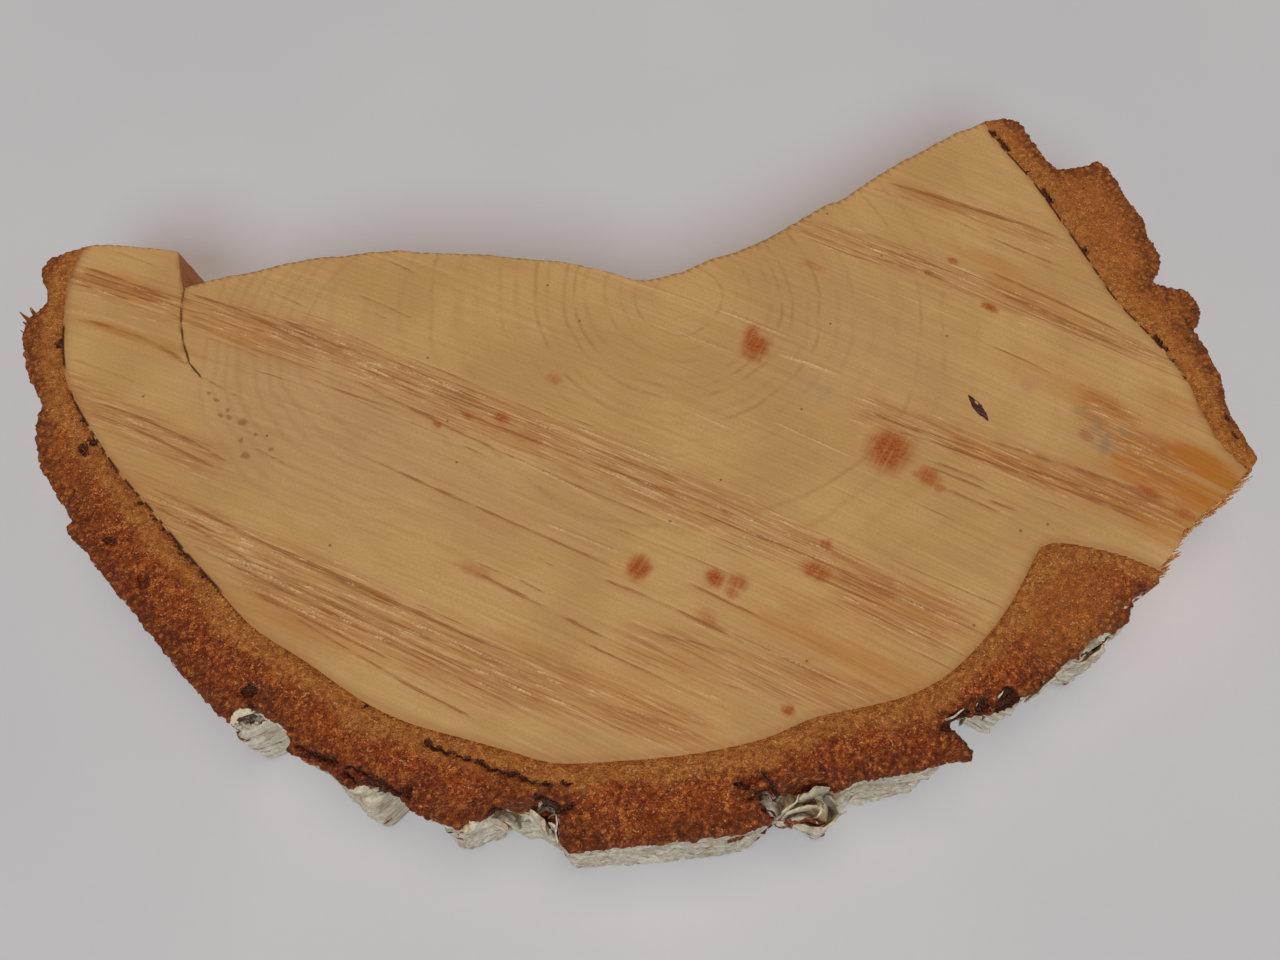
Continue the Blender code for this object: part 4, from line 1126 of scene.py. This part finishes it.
class Paint:
    """A material's node tree. Each call adds a node and gives its output."""

    def __init__(self, name):
        self.material = bpy.data.materials.new(name)
        self.material.use_nodes = True
        self.tree = self.material.node_tree
        self.surface = self.tree.nodes["Principled BSDF"]
        self.place = self.node("ShaderNodeTexCoord").outputs["Object"]

    def node(self, kind, inputs=(), **settings):
        made = self.tree.nodes.new(kind)
        for name, value in settings.items():
            setattr(made, name, value)
        for key, value in dict(inputs).items():
            self.feed(made.inputs[key], value)
        return made

    def feed(self, socket, value):
        if isinstance(value, bpy.types.NodeSocket):
            self.tree.links.new(value, socket)
        else:
            socket.default_value = value

    def mark(self, name):
        return self.node("ShaderNodeAttribute", attribute_name=name).outputs["Fac"]

    def vector(self, name):
        return self.node("ShaderNodeAttribute", attribute_name=name).outputs["Vector"]

    def maths(self, operation, a, b=0.0):
        return self.node("ShaderNodeMath", {0: a, 1: b}, operation=operation).outputs[0]

    def times(self, a, b):
        return self.maths("MULTIPLY", a, b)

    def plus(self, a, b):
        return self.maths("ADD", a, b)

    def span(self, value, low, high, to_low=0.0, to_high=1.0):
        inputs = {"Value": value, "From Min": low, "From Max": high, "To Min": to_low, "To Max": to_high}
        return self.node("ShaderNodeMapRange", inputs, interpolation_type="SMOOTHSTEP").outputs[0]

    def mix(self, share, a, b):
        made = self.node("ShaderNodeMix", data_type="RGBA")
        for socket, value in zip((made.inputs[0], made.inputs[6], made.inputs[7]), (share, a, b)):
            self.feed(socket, value)
        return made.outputs[2]

    def coat(self, colour, share, *screen):
        """A colour with a screen colour laid over a share of it."""
        return self.mix(share, colour, albedo(*screen))

    def tones(self, value, low, high, first, last):
        """From one screen colour to another as a value goes from low to high."""
        return self.mix(self.span(value, low, high), albedo(*first), albedo(*last))

    def ramp(self, value, stops):
        """A colour for each value, from stops of a value and a screen colour."""
        low, colour = stops[0][0], albedo(*stops[0][1])
        for high, shade in stops[1:]:
            colour = self.mix(self.span(value, low, high), colour, albedo(*shade))
            low = high
        return colour

    def noise(self, size, detail=3.0, vector=None, roughness=0.55):
        inputs = {
            "Vector": self.place if vector is None else vector,
            "Scale": (1.0 / MM if vector is None else 1.0) / size,
            "Detail": detail,
            "Roughness": roughness,
        }
        return self.node("ShaderNodeTexNoise", inputs).outputs[0]

    def cells(self, size, output="Distance"):
        inputs = {"Vector": self.place, "Scale": 1.0 / MM / size}
        return self.node("ShaderNodeTexVoronoi", inputs).outputs[output]

    def laid(self, place, x, y, along, across, turn):
        """Places seen from a spot, turned, and measured in the two sizes given."""
        inputs = {
            "Vector": place,
            "Location": (x * MM, y * MM, 0.0),
            "Rotation": (0.0, 0.0, math.radians(turn)),
            "Scale": (along * MM, across * MM, 1.0),
        }
        return self.node("ShaderNodeMapping", inputs, vector_type="TEXTURE").outputs[0]

    def oval(self, place, mark):
        """How far each place is from an oval's middle. At its rim this is 1."""
        spot = self.laid(place, *mark)
        return self.node("ShaderNodeVectorMath", {0: spot}, operation="LENGTH").outputs["Value"]

    def leaf(self, place, mark):
        """How far each place is from the middle of a pointed leaf. At its rim this is 1."""
        spot = self.node("ShaderNodeSeparateXYZ", {0: self.laid(place, *mark)}).outputs
        along, across = (self.maths("ABSOLUTE", spot[axis]) for axis in (0, 1))
        return self.plus(self.maths("POWER", along, LEAF_POWER), self.maths("POWER", across, LEAF_POWER))

    def warped(self, size, reach):
        """Places pushed about by a smooth noise."""
        inputs = {"Vector": self.place, "Scale": 1.0 / MM / size, "Detail": 3.0}
        push = self.node("ShaderNodeTexNoise", inputs).outputs["Color"]
        inputs = {0: push, 1: (0.5, 0.5, 0.5)}
        push = self.node("ShaderNodeVectorMath", inputs, operation="SUBTRACT").outputs[0]
        inputs = {0: push, "Scale": reach * MM}
        push = self.node("ShaderNodeVectorMath", inputs, operation="SCALE").outputs[0]
        return self.node("ShaderNodeVectorMath", {0: self.place, 1: push}, operation="ADD").outputs[0]

    def blots(self, place, marks, soft=0.2):
        """How much of any of the ovals, laid along the saw arcs, each place has."""
        total = 0.0
        for x, y, along, across, strength in marks:
            turn = -math.degrees(math.atan(SAW_SLOPE + 2.0 * SAW_BEND * x))
            gap = self.oval(place, (x, y, along, across, turn))
            total = self.maths("MAXIMUM", total, self.span(gap, 1.0 - soft, 1.0 + soft, strength, 0.0))
        return total

    def finish(self, colour, roughness, height, depth):
        bump = self.node("ShaderNodeBump", {"Strength": 1.0, "Distance": depth * MM, "Height": height})
        self.feed(self.surface.inputs["Base Color"], colour)
        self.feed(self.surface.inputs["Roughness"], roughness)
        self.feed(self.surface.inputs["Normal"], bump.outputs[0])
        self.surface.inputs["Specular IOR Level"].default_value = 0.3
        return self.material


def wood_paint():
    """Sawn wood: honey tan with faint rings, brown saw streaks, pale torn fibre that is partly painted
    highlight, reddish stains, and painted shade in the drying crack, in pinholes and along the seam with the
    bark.
    """
    p = Paint("sawn_wood")
    saw = p.vector("saw")
    rough = p.mark("rough")
    bent = p.warped(1.3, 1.1)
    broad = p.noise(14.0, 2.0)
    lines = p.noise(0.34, 3.0, saw, 0.6)
    hair = p.noise(0.16, 2.0, saw, 0.6)
    speck = p.noise(0.3, 2.0)
    colour = p.tones(broad, 0.35, 0.65, (173, 130, 79), (183, 141, 87))
    colour = p.coat(colour, p.times(p.mark("heart"), 0.55), 172, 131, 90)
    rings = 0.0
    radius = p.mark("radius")
    for ring_radius, strength, half_width in RINGS:
        gap = p.maths("ABSOLUTE", p.maths("SUBTRACT", radius, ring_radius))
        rings = p.maths("MAXIMUM", rings, p.span(gap, 0.0, 2.0 * half_width, 0.46 * strength, 0.0))
    broken = p.span(p.noise(3.4, 2.0), 0.38, 0.62, 0.15, 1.0)
    colour = p.coat(colour, p.times(rings, broken), 136, 94, 54)
    arcs = 0.0
    gap_from = p.oval(p.warped(9.0, 3.0), HEART_RINGS_AT)
    for place in HEART_RINGS:
        gap = p.maths("ABSOLUTE", p.maths("SUBTRACT", gap_from, place))
        arcs = p.maths("MAXIMUM", arcs, p.span(gap, 0.0, 0.02, HEART_RING_STRENGTH, 0.0))
    left = p.node("ShaderNodeSeparateXYZ", {0: p.place}).outputs[0]
    arcs = p.times(arcs, p.span(left, *HEART_RING_X))
    colour = p.coat(colour, arcs, 140, 104, 72)
    colour = p.coat(colour, p.span(speck, 0.4, 0.62, 0.0, 0.16), 150, 104, 60)
    colour = p.coat(colour, p.times(p.mark("orange"), p.span(lines, 0.3, 0.6, 0.75, 1.0)), 162, 97, 32)
    colour = p.coat(colour, p.times(p.mark("reddish"), 0.75), 160, 92, 46)
    colour = p.coat(colour, p.times(p.mark("smudge"), 0.6), 146, 122, 94)
    colour = p.coat(colour, p.times(rough, p.span(broad, 0.35, 0.6, 0.16, 0.42)), 164, 106, 56)
    brown = p.times(p.span(lines, 0.50, 0.60), p.span(rough, 0.0, 1.0, 0.10, 0.60))
    colour = p.coat(colour, brown, 152, 98, 54)
    pale = p.times(p.span(lines, 0.44, 0.34), p.span(rough, 0.0, 1.0, 0.08, 0.45))
    colour = p.coat(colour, pale, 198, 158, 108)
    dark = p.times(p.mark("dark"), p.span(hair, 0.38, 0.52, 0.5, 1.0))
    colour = p.coat(colour, p.span(dark, 0.12, 0.7, 0.0, 0.85), 136, 80, 40)
    # Pale torn fibre: partly the fibre's own paler colour, partly painted highlight on the raised torn bits
    torn = p.times(p.mark("torn"), p.span(speck, 0.42, 0.56, 0.1, 1.0))
    colour = p.coat(colour, p.times(torn, 0.75), 212, 176, 130)
    scratches = p.noise(1.0, 2.0, p.laid(p.place, 0.0, 0.0, 5.0, 0.5, 62.0), 0.5)
    spots = p.times(p.blots(bent, SPOTS, 0.56), p.span(scratches, 0.62, 0.5, 0.72, 0.98))
    colour = p.mix(spots, colour, p.tones(speck, 0.4, 0.6, (136, 60, 12), (156, 80, 28)))
    colour = p.coat(colour, p.times(p.blots(bent, GREY_SPOTS, 0.7), 0.75), 130, 104, 76)
    # Painted shade: each pinhole is a dark dot
    holes = 0.0
    for x, y in PINHOLES:
        gap = p.oval(p.place, (x, y, PINHOLE_SIZE, PINHOLE_SIZE, 0.0))
        holes = p.maths("MAXIMUM", holes, p.span(gap, 0.5, 1.4, 0.7, 0.0))
    colour = p.coat(colour, holes, 92, 48, 26)
    crack = 0.0
    for (x0, y0), (x1, y1) in zip(CRACK_LINE, CRACK_LINE[1:]):
        reach = 0.55 * math.hypot(x1 - x0, y1 - y0)
        turn = math.degrees(math.atan2(y1 - y0, x1 - x0))
        gap = p.oval(p.place, ((x0 + x1) / 2.0, (y0 + y1) / 2.0, reach, CRACK_SHADE, turn))
        crack = p.maths("MAXIMUM", crack, p.span(gap, 0.7, 1.2, 0.8, 0.0))
    colour = p.coat(colour, crack, 76, 42, 24)
    dots = p.blots(bent, [(x, y, size, 0.8 * size, 0.7) for x, y, size in GREY_DOTS], 0.5)
    colour = p.coat(colour, dots, 130, 86, 50)
    chip = p.span(p.leaf(p.warped(0.9, 0.4), DARK_CHIP), 0.85, 1.05, 1.0, 0.0)
    colour = p.mix(chip, colour, p.tones(hair, 0.45, 0.6, (46, 24, 22), (84, 50, 40)))
    colour = p.coat(colour, p.span(p.oval(p.place, CHIP_FLECK), 0.7, 1.2, 0.9, 0.0), 190, 140, 90)
    edge = p.mark("from_bark")
    tint = p.span(p.plus(edge, p.times(speck, 0.8)), 0.7, 1.9, 0.45, 0.0)
    colour = p.coat(colour, tint, 142, 88, 42)
    # Painted shade: dark dashes in the gap where the bark has parted from the wood
    seam = p.times(p.span(edge, 0.45, 0.66, 1.0, 0.0), p.span(p.noise(2.0, 3.0), 0.42, 0.5))
    colour = p.coat(colour, p.times(seam, p.mark("seam")), 66, 34, 20)
    grain = p.noise(0.5, 3.0, stretched(p, 14.0))
    wall = p.tones(grain, 0.3, 0.7, (150, 102, 58), (192, 150, 98))
    torn_wall = p.tones(grain, 0.35, 0.65, (192, 130, 74), (206, 170, 124))
    wall = p.mix(p.mark("broken"), wall, torn_wall)
    wall = p.mix(p.mark("notch"), wall, p.tones(grain, 0.3, 0.7, (174, 102, 46), (192, 122, 60)))
    colour = p.mix(p.mark("below"), colour, wall)
    height = p.plus(p.times(lines, 0.6), p.times(hair, 0.4))
    height = p.times(height, p.span(rough, 0.0, 1.0, 0.3, 1.3))
    height = p.plus(height, p.times(speck, p.span(p.mark("torn"), 0.0, 1.0, 0.1, 0.9)))
    height = p.maths("SUBTRACT", height, p.times(chip, 1.5))
    height = p.mix(p.mark("below"), height, p.times(grain, 2.0))
    return p.finish(colour, p.span(lines, 0.3, 0.7, 0.5, 0.66), height, 0.10)


def stretched(p, times):
    """Places in millimetres, drawn together along the grain, which runs up."""
    scale = (1.0 / MM, 1.0 / MM, 1.0 / MM / times)
    return p.node("ShaderNodeMapping", {"Vector": p.place, "Scale": scale}).outputs[0]


def bark_paint(name):
    """Bark: red-brown grains with cream specks, a lighter even inner layer and pale cork outside, with
    painted shade in grain gaps, holes, pits, clefts and along the top's outer edge, and painted highlight on
    crumbs.
    """
    p = Paint(name)
    small = p.noise(0.6, 3.0, None, 0.65)
    tiny = p.noise(0.2, 2.0)
    cell = p.times(p.cells(0.45, output="Color"), 0.2)
    layers = p.noise(0.7, 4.0, p.vector("layers"), 0.6)
    grainy = p.plus(p.times(small, 0.38), p.times(tiny, 0.42))
    grainy = p.plus(grainy, cell)
    outer = p.ramp(grainy, OUTER_TONES)
    broad = p.noise(5.0, 2.0)
    outer = p.coat(outer, p.span(broad, 0.42, 0.62, 0.0, 0.22), 112, 45, 14)
    outer = p.coat(outer, p.times(p.mark("warm"), 0.5), 176, 106, 44)
    inner = p.ramp(grainy, INNER_TONES)
    inner = p.coat(inner, p.span(layers, 0.54, 0.68, 0.0, 0.35), 116, 58, 22)
    colour = p.mix(p.times(p.mark("band"), 0.85), outer, inner)
    specks = p.span(p.noise(0.24, 2.0, None, 0.5), 0.6, 0.68)
    specks = p.times(specks, p.span(p.noise(2.4, 2.0), 0.35, 0.6, 0.2, 1.0))
    colour = p.coat(colour, p.times(specks, 0.75), 206, 150, 96)
    # Painted shade: tiny holes as dark dots, fainter in the inner layer
    holes = p.span(p.noise(0.34, 2.0, None, 0.5), 0.36, 0.3)
    holes = p.times(holes, p.span(p.mark("band"), 0.0, 1.0, 0.9, 0.3))
    colour = p.coat(colour, holes, 58, 22, 11)
    # Painted shade in the gaps between the grains
    colour = p.coat(colour, p.times(p.mark("crevice_shade"), 0.6), 62, 28, 14)
    # Painted light on the crumbly outer bark: shade at the crumbs' edges, highlight on their middles
    crumb = p.cells(0.65)
    coarse = p.mark("coarse")
    colour = p.coat(colour, p.times(p.span(crumb, 0.36, 0.62, 0.0, 0.55), coarse), 72, 28, 11)
    colour = p.coat(colour, p.times(p.span(crumb, 0.12, 0.34, 0.3, 0.0), coarse), 196, 114, 50)
    # Painted shade along the outer edge of the bark's top
    rim = p.times(p.mark("rim"), p.span(small, 0.4, 0.56, 0.2, 0.7))
    colour = p.coat(colour, rim, 84, 40, 30)
    # Painted shade in the pits and hollows, which are only partly sunk in
    pit = p.span(p.plus(p.mark("pit"), p.times(small, 1.6)), 1.5, 1.66, 0.0, 0.95)
    colour = p.mix(pit, colour, p.tones(tiny, 0.44, 0.6, (32, 15, 12), (96, 48, 24)))
    ridge = p.noise(0.8, 4.0, p.vector("wall"), 0.6)
    pale = p.ramp(p.plus(p.times(ridge, 0.6), p.times(small, 0.4)), CORK_TONES)
    pale = p.coat(pale, p.span(p.noise(0.5, 4.0, p.vector("wall")), 0.57, 0.68, 0.0, 0.7), 96, 80, 62)
    pale = p.coat(pale, p.span(p.noise(3.0, 3.0), 0.54, 0.68, 0.0, 0.3), 160, 146, 116)
    pale = p.coat(pale, p.times(p.mark("cream"), p.span(small, 0.42, 0.56, 0.1, 0.85)), 206, 188, 150)
    pale = p.coat(pale, p.span(p.noise(2.1, 3.0), 0.44, 0.34, 0.0, 0.5), 150, 108, 78)
    pale = p.coat(pale, p.mark("shade"), 84, 78, 74)
    cork = p.span(p.plus(p.mark("cork"), p.times(small, 1.1)), 0.92, 1.1)
    colour = p.mix(cork, colour, pale)
    # Painted shade in the cracks and clefts
    line = p.plus(p.mark("crack"), p.times(small, 0.9))
    cleft = p.tones(tiny, 0.46, 0.62, (38, 18, 13), (96, 48, 24))
    colour = p.mix(p.span(line, 0.29, 0.43, 0.0, 0.95), colour, cleft)
    height = p.plus(p.times(grainy, 1.2), p.times(tiny, 0.4))
    height = p.mix(p.times(p.mark("cork"), 0.6), height, ridge)
    return p.finish(colour, 0.82, height, 0.28)


def finish_piece(made, material):
    """Gives a piece its material, its smooth shading and its place in the frame."""
    made.data.materials.clear()
    made.data.materials.append(material)
    made.data.shade_smooth()
    made.data.set_sharp_from_angle(angle=math.radians(SHARP_ANGLE))
    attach(made, "root")


def make_floor():
    """A plain pale floor under the slice."""
    half = FLOOR_HALF / MM
    corners = [(-half, -half, 0), (half, -half, 0), (half, half, 0), (-half, half, 0)]
    made = new_object("floor", corners, [(0, 1, 2, 3)])
    p = Paint("floor")
    tint = p.mix(p.span(p.noise(60.0, 2.0), 0.3, 0.7), *FLOOR_TONES)
    made.data.materials.append(p.finish(tint, 0.55, p.noise(1.2, 3.0), 0.02))


def add_light(name, place, power, size, colour):
    """A soft square lamp that faces the middle of the slice."""
    lamp = bpy.data.lights.new(name, "AREA")
    lamp.energy = power
    lamp.size = size
    lamp.color = colour
    made = linked(name, lamp)
    made.location = place
    made.rotation_euler = Vector(place).to_track_quat("Z", "Y").to_euler()


def set_stage():
    """Floor, soft light and camera."""
    make_floor()
    for lamp in LAMPS:
        add_light(*lamp)
    scene = bpy.context.scene
    scene.world = bpy.data.worlds.new("soft")
    scene.world.use_nodes = True
    sky = scene.world.node_tree.nodes["Background"].inputs
    sky["Color"].default_value = WORLD_COLOUR
    sky["Strength"].default_value = WORLD_STRENGTH
    camera = bpy.data.cameras.new("camera")
    camera.lens = CAMERA_LENS
    camera.sensor_width = CAMERA_SENSOR
    camera.clip_start = 0.005
    made = linked("camera", camera)
    made.location = CAMERA_PLACE
    made.rotation_euler = (math.radians(CAMERA_TILT), 0.0, 0.0)
    scene.camera = made
    scene.view_settings.view_transform = "Standard"


wood = make_wood()
wood.name = "wood_body"
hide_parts("wood")
bark_lower = make_bark("bark_lower", LOWER_VOXEL, 101, LOWER_FLAKES, LOWER_SPLINTERS)
bark_upper = make_bark("bark_upper", UPPER_VOXEL, 211, (), ())
set_stage()
